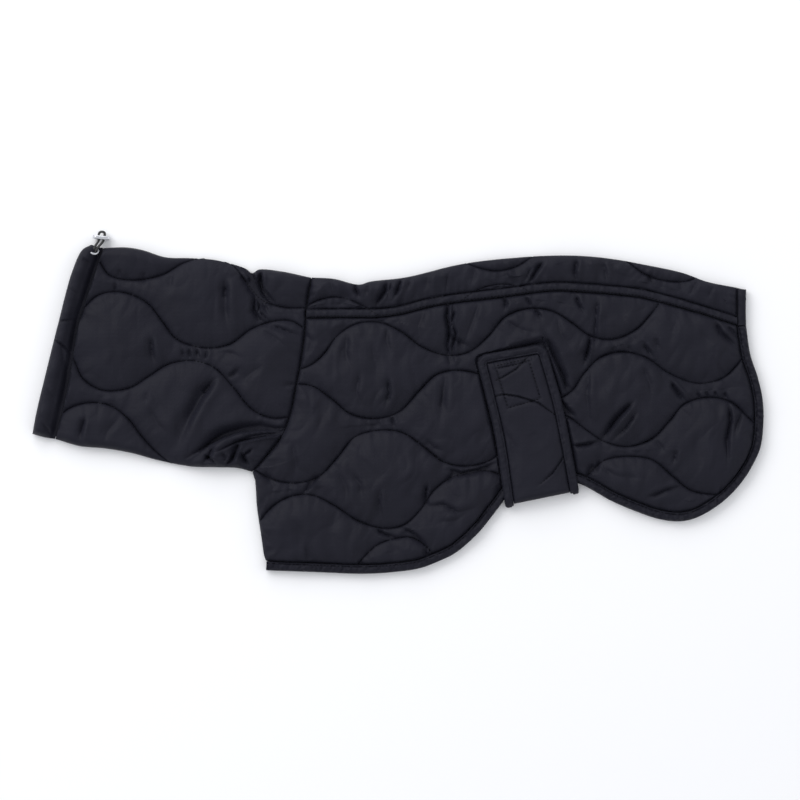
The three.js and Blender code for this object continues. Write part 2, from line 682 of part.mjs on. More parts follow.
// The outside of the strap goes down its near leg, round the turn and back under the hem.
function strapSection(across, topHeight) {
  const ring = [];
  const put = (along, z) => {
    const point = strapPlace(across, along);
    point.z = z;
    ring.push(point);
  };
  const near = [0, 1.4, 3.9, 6.8, 8.0, ...Array.from({ length: 18 }, (_, i) => 14 + 6.6 * i)];
  near.forEach((along) => put(along, topHeight(across, along)));
  const outer = topHeight(across, near.at(-1)) / 2;
  for (let k = 1; k < 6; k += 1) {
    const angle = (Math.PI * k) / 6;
    put(STRAP_LENGTH - STRAP_TURN + STRAP_TURN * Math.sin(angle), outer * (1 + Math.cos(angle)));
  }
  put(STRAP_LENGTH - STRAP_TURN, 0);
  put(STRAP_LENGTH - STRAP_FAR_LEG, 0);
  put(STRAP_LENGTH - STRAP_FAR_LEG, FAR_WALL);
  put(STRAP_LENGTH - STRAP_TURN, FAR_WALL);
  put(STRAP_LENGTH - 3.4, FAR_WALL + 1.4);
  put(STRAP_LENGTH - 3.4, STRAP_INSIDE - 1.4);
  put(STRAP_LENGTH - STRAP_TURN, STRAP_INSIDE);
  put(0, STRAP_INSIDE);
  return ring;
}

function strapBody(topHeight) {
  const edges = [0, 1.4, 3.9, 6.8, 8.0].map((d) => d / STRAP_WIDTH);
  const middle = Array.from({ length: 8 }, (_, i) => lerp(0.2, 0.8, i / 7));
  const columns = [...edges, ...middle, ...edges.map((a) => 1 - a).reverse()];
  const flatten = (point) => new THREE.Vector2(-point.y, point.z);
  return loft(columns.map((across) => strapSection(across, topHeight)), flatten);
}

function fromStrapEdge(across, along) {
  return Math.min(across * STRAP_WIDTH, (1 - across) * STRAP_WIDTH, along);
}

function strapRoll(across, along) {
  const inward = clamp(fromStrapEdge(across, along) / STRAP_BORDER, 0, 1);
  const roll = Math.sqrt(Math.max(0, 1 - (2 * inward - 1) ** 2));
  return STRAP_INSIDE + lerp(STRAP_EDGE, STRAP_WALL, inward) + (STRAP_ROLL - STRAP_WALL) * roll;
}

const strapWave = waveThrough([{ x: 40, y: 2 }, { x: 97, y: 12.5 }, { x: 148, y: -8 }]);

function strapPuff(across, along) {
  const point = strapPlace(across, along);
  const inside = Math.max(0, fromStrapEdge(across, along) - STRAP_BORDER);
  const edges = { above: Math.max(inside, 0.01), below: 60, side: Math.max(inside, 0) };
  return STRAP_INSIDE + STRAP_WALL + quiltPuff(point, edges, [strapWave], STRAP_LOFT * 2);
}

// The ground that the two hems cover, let out by the seam gap.
function hemGround(high) {
  const outside = movedInwards(hem, -SEAM_GAP - 0.1);
  const lower = sampled(stretchOf(outside, 0.1, 0.75), 110);
  const corners = [{ x: lower.at(-1).x, y: 60 }, { x: lower[0].x, y: 60 }];
  return slab([...lower, ...corners], -1, high);
}

function strapWindow(border) {
  const edge = border / STRAP_WIDTH;
  const left = Array.from({ length: 9 }, (_, i) => strapPlace(edge, lerp(border, STRAP_LENGTH, i / 8)));
  const right = Array.from({ length: 9 }, (_, i) => strapPlace(1 - edge, lerp(STRAP_LENGTH, border, i / 8)));
  const beyond = [left, right].map((row, k) => {
    const tip = row[k === 0 ? 8 : 0];
    const back = row[k === 0 ? 7 : 1];
    return tip.clone().add(tip.clone().sub(back));
  });
  return slab([...left, ...beyond, ...right], -2, 30);
}

function bellyStrap() {
  const body = solidOf(strapBody(strapPuff));
  const inWindow = body.intersect(solidOf(strapWindow(STRAP_BORDER + SEAM_GAP)));
  return geometryOf(inWindow.subtract(solidOf(hemGround(BINDING_TOP + 0.15))));
}

function bellyStrapBinding() {
  const body = solidOf(strapBody(strapRoll));
  const rim = body.subtract(solidOf(strapWindow(STRAP_BORDER)));
  return geometryOf(rim.subtract(solidOf(hemGround(BINDING_TOP + 0.15))));
}

// Eyelet, drawcord and stopper

function facing(geometry, { x, y, z }) {
  const turn = new THREE.Quaternion().setFromUnitVectors(new THREE.Vector3(0, 1, 0), EYELET_FACING);
  return geometry.applyQuaternion(turn).translate(x, y, z);
}

function eyeletPockets() {
  const seat = EYELET_RING + EYELET_SECTION + SEAM_GAP;
  const wide = new THREE.CylinderGeometry(seat, seat, 12, 24).translate(0, 6 - EYELET_SECTION - SEAM_GAP, 0);
  const bore = new THREE.CylinderGeometry(2.6, 2.6, 6, 16).translate(0, -1.5, 0);
  return [facing(wide, EYELET), facing(bore, EYELET)];
}

function eyelet() {
  const sides = 8;
  const section = Array.from({ length: sides + 1 }, (_, i) => {
    const angle = (2 * Math.PI * (i % sides)) / sides;
    return new THREE.Vector2(
      EYELET_RING + EYELET_SECTION * Math.cos(angle), EYELET_SECTION * Math.sin(angle));
  });
  return facing(new THREE.LatheGeometry(section, 24), EYELET);
}

const CORD_ROUTE = [
  { x: -274.1, y: 141.3, z: 7.0 }, { x: -273.5, y: 142.4, z: 8.3 }, { x: -272.6, y: 144.2, z: 9.6 },
  { x: -271.2, y: 147.0, z: 9.6 }, { x: -269.9, y: 149.4, z: 7.4 }, { x: -268.9, y: 151.6, z: 4.9 },
  { x: -268.6, y: 154.4, z: 4.2 }, { x: -269.1, y: 157.2, z: 4.2 }, { x: -269.4, y: 159.4, z: 4.4 },
  { x: -268.2, y: 161.6, z: 4.6 }, { x: -266.0, y: 162.6, z: 4.7 }, { x: -263.8, y: 161.5, z: 4.6 },
  { x: -262.9, y: 159.2, z: 4.4 }, { x: -263.5, y: 156.6, z: 4.2 }, { x: -264.2, y: 154.0, z: 4.2 },
  { x: -264.8, y: 151.2, z: 4.9 }, { x: -266.2, y: 149.0, z: 7.2 }, { x: -268.2, y: 146.4, z: 9.4 },
  { x: -270.6, y: 143.4, z: 9.4 }, { x: -271.9, y: 141.6, z: 8.3 }, { x: -272.6, y: 140.5, z: 7.0 },
];

function drawcord() {
  const path = new THREE.CatmullRomCurve3(CORD_ROUTE.map(({ x, y, z }) => new THREE.Vector3(x, y, z)));
  const section = new THREE.Shape(Array.from({ length: 8 }, (_, i) => {
    const angle = (Math.PI * i) / 4;
    const radius = CORD_DIAMETER / 2;
    return new THREE.Vector2(radius * Math.cos(angle), radius * Math.sin(angle));
  }));
  return new THREE.ExtrudeGeometry(section, { steps: 34, bevelEnabled: false, extrudePath: path });
}

function cordStopper() {
  const half = STOPPER_HEIGHT / 2 - STOPPER_BEVEL;
  const reach = STOPPER_LENGTH / 2 - STOPPER_BEVEL - half;
  const shape = new THREE.Shape();
  shape.absarc(reach, 0, half, -Math.PI / 2, Math.PI / 2);
  shape.absarc(-reach, 0, half, Math.PI / 2, (3 * Math.PI) / 2);
  for (const side of [-1, 1]) {
    const hole = new THREE.Path();
    hole.absarc(side * STOPPER_HOLE_OFFSET, 0, STOPPER_HOLE + STOPPER_BEVEL, 0, 2 * Math.PI, true);
    shape.holes.push(hole);
  }
  const geometry = new THREE.ExtrudeGeometry(shape, {
    depth: STOPPER_THICKNESS - 2 * STOPPER_BEVEL,
    bevelThickness: STOPPER_BEVEL,
    bevelSize: STOPPER_BEVEL,
    bevelSegments: 1,
    curveSegments: 7,
  });
  return geometry.translate(0, 0, STOPPER_BEVEL - STOPPER_THICKNESS / 2)
    .rotateX(Math.PI / 2)
    .rotateZ(STOPPER_TURN)
    .translate(STOPPER.x, STOPPER.y, STOPPER.z);
}

// The coat

const coat = new THREE.Group();

function addPiece(name, geometry, material) {
  const mesh = new THREE.Mesh(geometry, MATERIALS[material]);
  mesh.name = name;
  coat.add(mesh);
}

addPiece('neck_casing', neckCasing(), 'shell');
addPiece('neck_tube', neckTube(), 'shell');
addPiece('spine_panel', spinePanel(), 'shell');
addPiece('tail_hem', tailHem(), 'binding');
addPiece('near_side', nearSide(), 'shell');
addPiece('far_side', farSide(), 'shell');
addPiece('near_binding', binding(ROUND_SECTION, NEAR_INSIDE, BINDING_TOP), 'binding');
addPiece('far_binding', binding(FLAT_SECTION, 0, FAR_WALL), 'binding');
addPiece('belly_strap', bellyStrap(), 'shell');
addPiece('belly_strap_binding', bellyStrapBinding(), 'binding');
addPiece('eyelet', eyelet(), 'chrome');
addPiece('drawcord', drawcord(), 'cord');
addPiece('cord_stopper', cordStopper(), 'chrome');

export default coat;
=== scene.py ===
"""A quilted winter coat for a dachshund, laid flat on its side and seen from straight above.

Lengths in the tables are millimetres in the row frame: the neck points to -X, the tail to +X, the
spine fold to +Y and +Z is up from the surface that the coat lies on.
"""

from __future__ import annotations

import logging
import math
from dataclasses import dataclass, field
from enum import Enum
from typing import Sequence

import bmesh
import bpy
import numpy as np
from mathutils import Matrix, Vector
from mathutils.bvhtree import BVHTree
from mathutils.kdtree import KDTree


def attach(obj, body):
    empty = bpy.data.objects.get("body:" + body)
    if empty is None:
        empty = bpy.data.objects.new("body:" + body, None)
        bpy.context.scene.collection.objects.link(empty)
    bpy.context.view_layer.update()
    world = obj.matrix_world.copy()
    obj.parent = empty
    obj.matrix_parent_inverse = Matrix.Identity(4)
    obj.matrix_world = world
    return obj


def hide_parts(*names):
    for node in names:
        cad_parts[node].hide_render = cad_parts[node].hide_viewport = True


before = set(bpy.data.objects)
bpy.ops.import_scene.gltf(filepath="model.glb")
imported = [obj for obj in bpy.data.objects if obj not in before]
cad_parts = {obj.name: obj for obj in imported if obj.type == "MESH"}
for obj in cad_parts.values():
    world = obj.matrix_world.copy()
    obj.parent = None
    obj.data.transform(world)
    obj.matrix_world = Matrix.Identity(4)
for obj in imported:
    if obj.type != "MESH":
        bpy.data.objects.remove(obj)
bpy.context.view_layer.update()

log = logging.getLogger("dog_coat")

Array = np.ndarray
Point = tuple[float, float]

MM = 0.001
WAVE_MM = 1000 * 2 * math.pi / 20  # a wave texture of scale 1 repeats every 314 mm

# Heights of the layers, as in the solids
FAR_WALL = 3.0
NEAR_INSIDE = 3.3
STITCHED_TOP = 6.0
LOWEST_TOP = 4.3
BINDING_TOP = 8.6
BAND_TOP = 8.3
FOLD_HEIGHT = 4.0
DRAWN_UP = 1.3  # how far a stitched line lifts the flat underside

# Widths and radii
BAND_WIDTH = 7.2
BINDING_WIDTH = 8.0
STITCHED_AT = -0.6  # where a tape is stitched, as a share of half its width
FOLD_RADIUS = 9.0
FOLD_UNDER = 4.0
FOLD_ALLOWANCE = 25.0  # how much further a quilted cell runs on round a fold
SEAM_GAP = 0.3
EDGE_BOW = 0.3
CORD_DIAMETER = 2.2

# Creases: how strongly all of them press, and the half width from which one has no sharp core
CREASE_STRENGTH = 1.7
SOFT_CREASE = 4.0

# Outlines of the cut pieces as they lie: x, y
CASING_RIM = [
    (-275.4, 147.9), (-283.6, 143.4), (-292.7, 124.4), (-305.6, 76.7), (-316.8, 31.7),
    (-325.4, -4.3), (-328.6, -22.2),
]
CASING_SEAM = [
    (-265.2, 144.9), (-270.4, 129.8), (-279.6, 101.9), (-286.9, 80.3), (-293.9, 39.8),
    (-298.8, 12.8), (-308.4, -26.6),
]
NECK_TOP = [
    (-264.6, 144.9), (-244.8, 145.5), (-230.4, 143.3), (-208.8, 136.6), (-187.2, 135.8),
    (-165.6, 134.3), (-146.7, 129.8), (-136.8, 126.2), (-131, 122.3), (-125.1, 125.5),
    (-105.3, 124), (-78, 118.2),
]
NECK_BOTTOM = [
    (-307.8, -26.8), (-286.2, -33.1), (-262.8, -35.3), (-239.4, -39.4), (-216, -45.7),
    (-185.4, -51.5), (-162, -52.2), (-144, -52.9), (-131, -56.2),
]
NECK_SEAM = [
    (-78, 118.2), (-82.1, 95.6), (-83.7, 73.1), (-87.5, 43.4), (-91.9, 20.9), (-96.4, -1.6),
    (-103.1, -20.5), (-114.4, -37.1), (-131, -56.2),
]
CHEST_FRONT = [(-128.4, -64), (-126.9, -86.2), (-123.3, -111.4), (-119.6, -134)]
SPINE_FOLD = [
    (-77.4, 118.4), (-57.6, 117.2), (-35.1, 112), (-25.2, 114.7), (7.2, 118.6), (50.4, 129.1),
    (73.8, 133), (104.4, 136.1), (138.6, 138.1), (167.4, 137.7), (194.4, 134.8),
    (223.2, 129.6), (255.6, 122.6), (277.2, 114.8), (304.6, 109.2),
]
SPINE_SEAM = [
    (-82.6, 82.1), (-42.3, 82.6), (-20.7, 82.6), (1.8, 85.3), (24.3, 91.1), (46.8, 95.2),
    (91.8, 100.6), (139.5, 106.4), (167.4, 105.3), (187.2, 103.7), (217.8, 100.6),
    (234.9, 96.5), (270, 86.6), (304.6, 75.6),
]
HEM = [
    (-118.4, -144.7), (-97.2, -145.6), (-73.8, -146.4), (-31.5, -147.9), (-5.4, -146.5),
    (19.8, -142.9), (37.8, -136.1), (51.3, -129.4), (72, -111.4), (89.1, -90.2),
    (102.6, -73.6), (123.3, -64.6), (145.8, -63.2), (163.8, -67.3), (192.2, -82.6),
    (213.3, -91.6), (234.9, -98.8), (252.9, -100.8), (267.3, -97.9), (288, -86.2),
    (304.2, -71.3), (316.8, -53.8), (325.8, -34), (328.5, -9.7), (327.8, 8.3), (323.4, 28.6),
    (316.8, 48.8), (312.8, 75),
]
HEM_TURN = 0.8
TAIL_INNER = [(304.9, 109.1), (304.9, 75.2)]
TAIL_EDGE = [(312.9, 107.6), (312.8, 75.1)]

# Quilting lines: the listed points of each one, x and y
NECK_LINES = [
    [(-267.3, 131.6), (-259.2, 120.4), (-236.7, 115.9), (-211.5, 120.8), (-191.7, 131.6),
     (-171.9, 135.7), (-149.4, 129.8), (-135.9, 113.6), (-122.4, 98.3), (-102.6, 91.6),
     (-79.2, 91.1)],
    [(-302.4, 79), (-286.2, 81.2), (-280.8, 92), (-268.2, 102.8), (-248.4, 105.1),
     (-225.5, 95.6), (-212, 79.4), (-198.5, 62.8), (-173.7, 55.1), (-151.2, 58.3),
     (-131.4, 72.2), (-108.9, 79.4), (-95.4, 79), (-81, 70.4)],
    [(-307.8, 63.2), (-296.1, 52.4), (-290.2, 42.5), (-282.6, 27.2), (-264.6, 16.9),
     (-241.2, 19.1), (-223.2, 29.9), (-205.2, 40.7), (-182.7, 43.4), (-164.7, 37.1),
     (-146.7, 18.2), (-131.4, 0.2), (-113.4, -7.9), (-93.6, -6.5)],
    [(-315, -29.5), (-307.8, -16.9), (-298.8, -1.6), (-279, 5.6), (-259.2, 3.4),
     (-243, -7.9), (-229.5, -25), (-216.9, -38.5), (-203.4, -49.3)],
]
BODY_LINES = [
    [(-91.8, 34.4), (-77.4, 40.3), (-66.6, 49.7), (-54, 66.4), (-36.9, 76.7), (-15.3, 77.6),
     (3.6, 69.1), (21.6, 56), (44.1, 48.4), (63.9, 51.5), (81, 65.5), (96.3, 83),
     (116.1, 90.2), (138.6, 88), (156.6, 77.2), (172.8, 65.9), (192.6, 62.8), (213.3, 71.3),
     (228.6, 87.1), (241.2, 102.8), (262.8, 118.1)],
    [(-100.8, 22.7), (-77.4, 20.9), (-59.4, 9.2), (-42.3, -4.3), (-21.6, -8.3), (0, -2.9),
     (19.8, 17.3), (35.1, 31.3), (54.9, 34.9), (81, 29), (108, 15.5), (135.9, 7.9),
     (154.8, 15.5), (167.4, 32.6), (181.8, 46.6), (202.1, 51.5), (223.2, 46.1), (243, 32.6),
     (270, 23.2), (291.6, 28.1), (305.1, 40.7), (318.6, 60.5)],
    [(-136.8, -48.4), (-117, -61.4), (-93.6, -66.4), (-72, -61), (-54.9, -43.9),
     (-38.7, -25), (-18, -19.1), (3.6, -20.9), (23.4, -34), (40.5, -47), (61.2, -51.1),
     (82.8, -45.7), (99, -32.2), (117, -13.3), (136.8, -3.4), (153, -7), (169.2, -18.7),
     (186.3, -29.5), (207, -33.5), (228.6, -25.9), (243, -11.5), (257.4, 4.7), (279, 10.6),
     (298.8, 6.5), (314.1, -7), (329.4, -22.3)],
    [(-133.2, -114.1), (-113.4, -88), (-95.4, -78.1), (-77.4, -77.2), (-57.6, -86.2),
     (-36, -100.1), (-12.6, -106.9), (5.4, -103.7), (19.8, -90.7), (32.4, -72.7),
     (48.6, -61), (72, -54.7), (90, -58.3), (109.8, -70.9), (135, -80.8), (154.8, -75.4),
     (171, -58.3), (185.4, -46.1), (207, -42.5), (228.6, -45.7), (246.6, -60.1),
     (262.8, -72.7), (280.8, -76.3), (295.2, -76.7), (311.4, -77.2)],
    [(-46.8, -151.9), (-32.4, -134.8), (-18.9, -122.2), (-2.7, -116.3), (12.6, -115.4),
     (26.1, -124), (37.8, -141.1)],
]
SPINE_LINES = [
    [(37.8, 143.3), (63, 130.3), (87.3, 124.2), (107.1, 128.5), (119.7, 136.1), (147.6, 149.6),
     (181.8, 146.9), (206.1, 132.1), (222.3, 120.8), (242.1, 115), (261, 115.4),
     (277.2, 123.5), (295.2, 134.3)],
    [(-91.8, 82.1), (-78.3, 94.7), (-63.9, 100.1), (-49.5, 100.1), (-34.2, 94.3), (-16.2, 83.9),
     (9, 73.1), (37.8, 80.3), (57.6, 98.3), (73.8, 108.2), (94.5, 112.3), (111.6, 109.1),
     (129.6, 96.5)],
]
FAR_SIDE_SHIFT = 46.0

# Corners and edges beside the outlines
SPINE_CORNER = (-81.4, 95.6)
CASING_CORNER = (-318, -25.2)
TAIL_SEAM_END = 75.4

# The belly strap: its edges, its middle, the box stitched round its hook patch and the box's way up
STRAP_LEFT = [(69.8, 47.9), (79.2, 9.6), (87.5, -26.8), (96.3, -86.6)]
STRAP_RIGHT = [(131.4, 59.2), (146, 9.6), (151.6, -16), (162.5, -73.1)]
STRAP_MIDDLE = (110, -10)
HOOK_BOX = [(88, 36.2), (117.6, 43), (127.6, 9.6), (98.6, 1.2)]
BOX_UP = (-0.25, 0.97)
QUILTED_ROWS = 3  # the first rows of its quilting are sewn, and the others are soft creases

# The eyelet, the stopper and the drawcord's route: x, y, z
EYELET = (-273.2, 142.6, 8.2)
EYELET_FACING = (0.34, 0.62, 0.7)
STOPPER = (-266.4, 154.2, 4.2)
CORD_ROUTE = [
    (-274.1, 141.3, 7), (-273.5, 142.4, 8.3), (-272.6, 144.2, 9.6), (-271.2, 147, 9.6),
    (-269.9, 149.4, 7.4), (-268.9, 151.6, 4.9), (-268.6, 154.4, 4.2), (-268.9, 156.8, 4.2),
    (-268.5, 158.3, 4.4), (-267.2, 159.3, 4.6), (-265.7, 159.5, 4.7), (-264.2, 158.9, 4.6),
    (-263.5, 157.6, 4.4), (-263.7, 156, 4.2), (-264.2, 154, 4.2), (-264.8, 151.2, 4.9),
    (-266.2, 149, 7.2), (-268.2, 146.4, 9.4), (-270.6, 143.4, 9.4), (-271.9, 141.6, 8.3),
    (-272.6, 140.5, 7),
]


class Slot(Enum):
    """The record's material slots."""

    SHELL = "shell_fabric"
    TAPE = "binding_tape"
    CORD = "cord"
    METAL = "bright_metal"


class Layer(Enum):
    """The side panel that lies on top, or the one below it."""

    NEAR = 0
    FAR = 1


@dataclass(frozen=True)
class Crease:
    """A crease pressed into the cloth: its depth and half width in mm, and its path."""

    depth: float
    width: float
    path: tuple[Point, ...]


def creases(*rows: tuple) -> list[Crease]:
    """The creases of one piece, each from a row of its depth, its half width and its path."""
    return [Crease(depth, width, tuple(path)) for depth, width, *path in rows]


NECK_CREASES = creases(
    (4.2, 2.4, (-145.8, 130.7), (-135.9, 125.3), (-131, 119), (-130.1, 110), (-126, 101.9),
     (-122.4, 97.4)),
    (3.6, 2.2, (-122.9, 124.4), (-122.9, 112.7), (-121.5, 104.6), (-116.1, 99.2)),
    (3, 2, (-128.7, 101), (-129.2, 88.4), (-125.1, 81.2), (-118.8, 77.6)),
    (1.8, 2, (-126.9, 100.1), (-119.7, 93.8), (-117, 85.7)),
    (5.2, 3.8, (-103.5, -19.6), (-122.4, -16.4), (-140.4, -17.8), (-156.6, -22.3), (-167.4, -28.6),
     (-176.4, -36.7), (-187.2, -47.5)),
    (2.6, 2.2, (-103.5, -21.8), (-120.6, -22.3), (-133.2, -24.5), (-145.8, -28.6)),
    (2.6, 1.2, (-101.7, -16.6), (-121.2, -17.8), (-145.2, -20.8), (-169.2, -30.6), (-190.2, -44.1)),
    (2.4, 1.1, (-104.7, -22.6), (-121.2, -24.7), (-145.2, -29.2), (-163.2, -38.2)),
    (2.4, 1.3, (-172.2, -41.2), (-163.2, -48.7)),
    (2.4, 1.3, (-154.2, -50.2), (-145.2, -38.2)),
    (1.8, 1.3, (-139.2, -41.2), (-130.2, -35.2)),
    (2.8, 1.3, (-139.2, 126.9), (-129.6, 117.9), (-124.2, 101.3), (-124.8, 87.8), (-115.2, 78.8)),
    (2.2, 1.3, (-124.2, 120.8), (-121.2, 107.3), (-110.7, 95.4)),
    (2, 1.2, (-124.2, 102.8), (-113.7, 93.8)),
    (3.4, 2.6, (-142.2, -29.5), (-146.7, -38.5), (-150.3, -49.3)),
    (3.4, 3.2, (-165.6, -34), (-169.2, -41.2), (-175.5, -49.3)),
    (3, 2.4, (-141.3, -38.5), (-137.7, -44.8), (-133.2, -51.1)),
    (1.4, 2.2, (-158.4, -38.5), (-154.8, -43.9), (-156.6, -51.1)),
    (4.6, 4.8, (-163.8, 28.1), (-178.2, 10.1), (-189, -9.7), (-198.9, -31.3)),
    (3, 4.6, (-154.8, 117.2), (-155.7, 93.8), (-154.8, 67.7)),
    (1, 4, (-163.8, 107.3), (-165.6, 80.3), (-160.2, 64.1)),
    (2, 3.4, (-221.4, 65), (-221, 51.5), (-219.6, 38.9)),
    (2, 2.6, (-280.8, -7), (-283.5, -16.9), (-286.2, -28.6)),
    (1.2, 1.8, (-253.8, 113.6), (-254.2, 103.7)),
    (0.9, 2, (-249.3, 125.3), (-250.2, 117.2)),
    (0.9, 2.2, (-227.7, 123.5), (-228.6, 110.9)),
    (1.6, 2.2, (-152.1, 29), (-142.2, 36.2)),
    (1.5, 2.6, (-113.4, 74.9), (-100.8, 70.4), (-87.3, 65)),
    (0.9, 3, (-122.4, 70.4), (-109.8, 63.2), (-99.9, 55.1)),
    (0.8, 2.6, (-158.4, 51.5), (-148.5, 49.7), (-138.6, 45.2)),
    (1.1, 4.2, (-122.4, 38.9), (-135, 29.9), (-144, 19.1)),
    (1, 2.2, (-91.8, 22.7), (-103.5, 20.9)),
    (1.2, 1.5, (-193.5, 54.2), (-192.6, 45.2)),
    (1.3, 1.4, (-187.2, 54.2), (-186.8, 45.2)),
    (1.4, 1.7, (-180.9, 54.2), (-179.1, 46.1)),
    (1.3, 1.9, (-171, 52.4), (-173.7, 43.4)),
    (1, 2.4, (-142.2, 119.9), (-133.2, 109.1)),
    (0.8, 2.6, (-203.4, 120.8), (-205.2, 107.3)),
    (0.9, 3.6, (-252, -9.7), (-261, -20.5), (-264.6, -33.1)),
    (0.9, 3.6, (-223.2, 1.1), (-216, -13.3), (-203.4, -24.1)),
    (0.8, 2.4, (-225, 15.5), (-226.8, 4.7)),
)
CASING_CREASES = creases(
    (0.9, 1, (-306, 78.5), (-286.5, 81)),
    (1.5, 1.1, (-310, 64.5), (-302, 58.5), (-293, 50)),
    (0.8, 2, (-302, 58), (-297, 30)),
    (0.8, 2.2, (-296, 110), (-284, 98)),
    (0.7, 2.4, (-316, 20), (-306, 4)),
    (1, 1.8, (-319, -12), (-311, -24)),
    (0.9, 1.8, (-283, 136), (-275, 128)),
)
SPINE_CREASES = creases(
    (3, 2, (-38.7, 113.6), (-37.8, 107.3), (-34.6, 100.1)),
    (1.4, 2.2, (-27, 111.8), (-28.8, 101.9)),
    (3, 2.2, (-9.9, 115.4), (-11.7, 106.4), (-18.9, 95.6), (-19.8, 89.3)),
    (2.6, 2.2, (3.6, 118.1), (0, 107.3), (-4.5, 98.3)),
    (1.6, 2, (-5.4, 114.5), (-9.9, 98.3)),
    (1.2, 2.6, (11.7, 119), (8.1, 105.5)),
    (1.2, 3, (-62.1, 119), (-57.6, 103.7)),
    (1, 3.4, (28.8, 123.5), (23.4, 105.5)),
    (1.1, 2.2, (44.1, 121.7), (43.2, 103.7)),
    (2.8, 2.3, (130.5, 132.5), (123.3, 122.6), (115.2, 110)),
    (1.5, 1.9, (119.7, 127.1), (112.5, 112.7)),
    (1.8, 2.4, (161.1, 135.2), (158.4, 123.5), (161.1, 113.6)),
    (1.2, 2.4, (184.5, 132.5), (187.2, 112.7)),
    (1.2, 2.6, (225, 121.7), (231.3, 107.3)),
    (0.8, 3, (190.8, 132.5), (198, 116.3)),
    (1.4, 2.6, (269.1, 115.4), (261, 101.9)),
    (1, 2.8, (282.6, 110), (277.2, 98.3)),
    (1, 3, (70.2, 127.1), (64.8, 109.1)),
    (0.9, 2.4, (96.3, 122.6), (102.6, 112.7)),
)
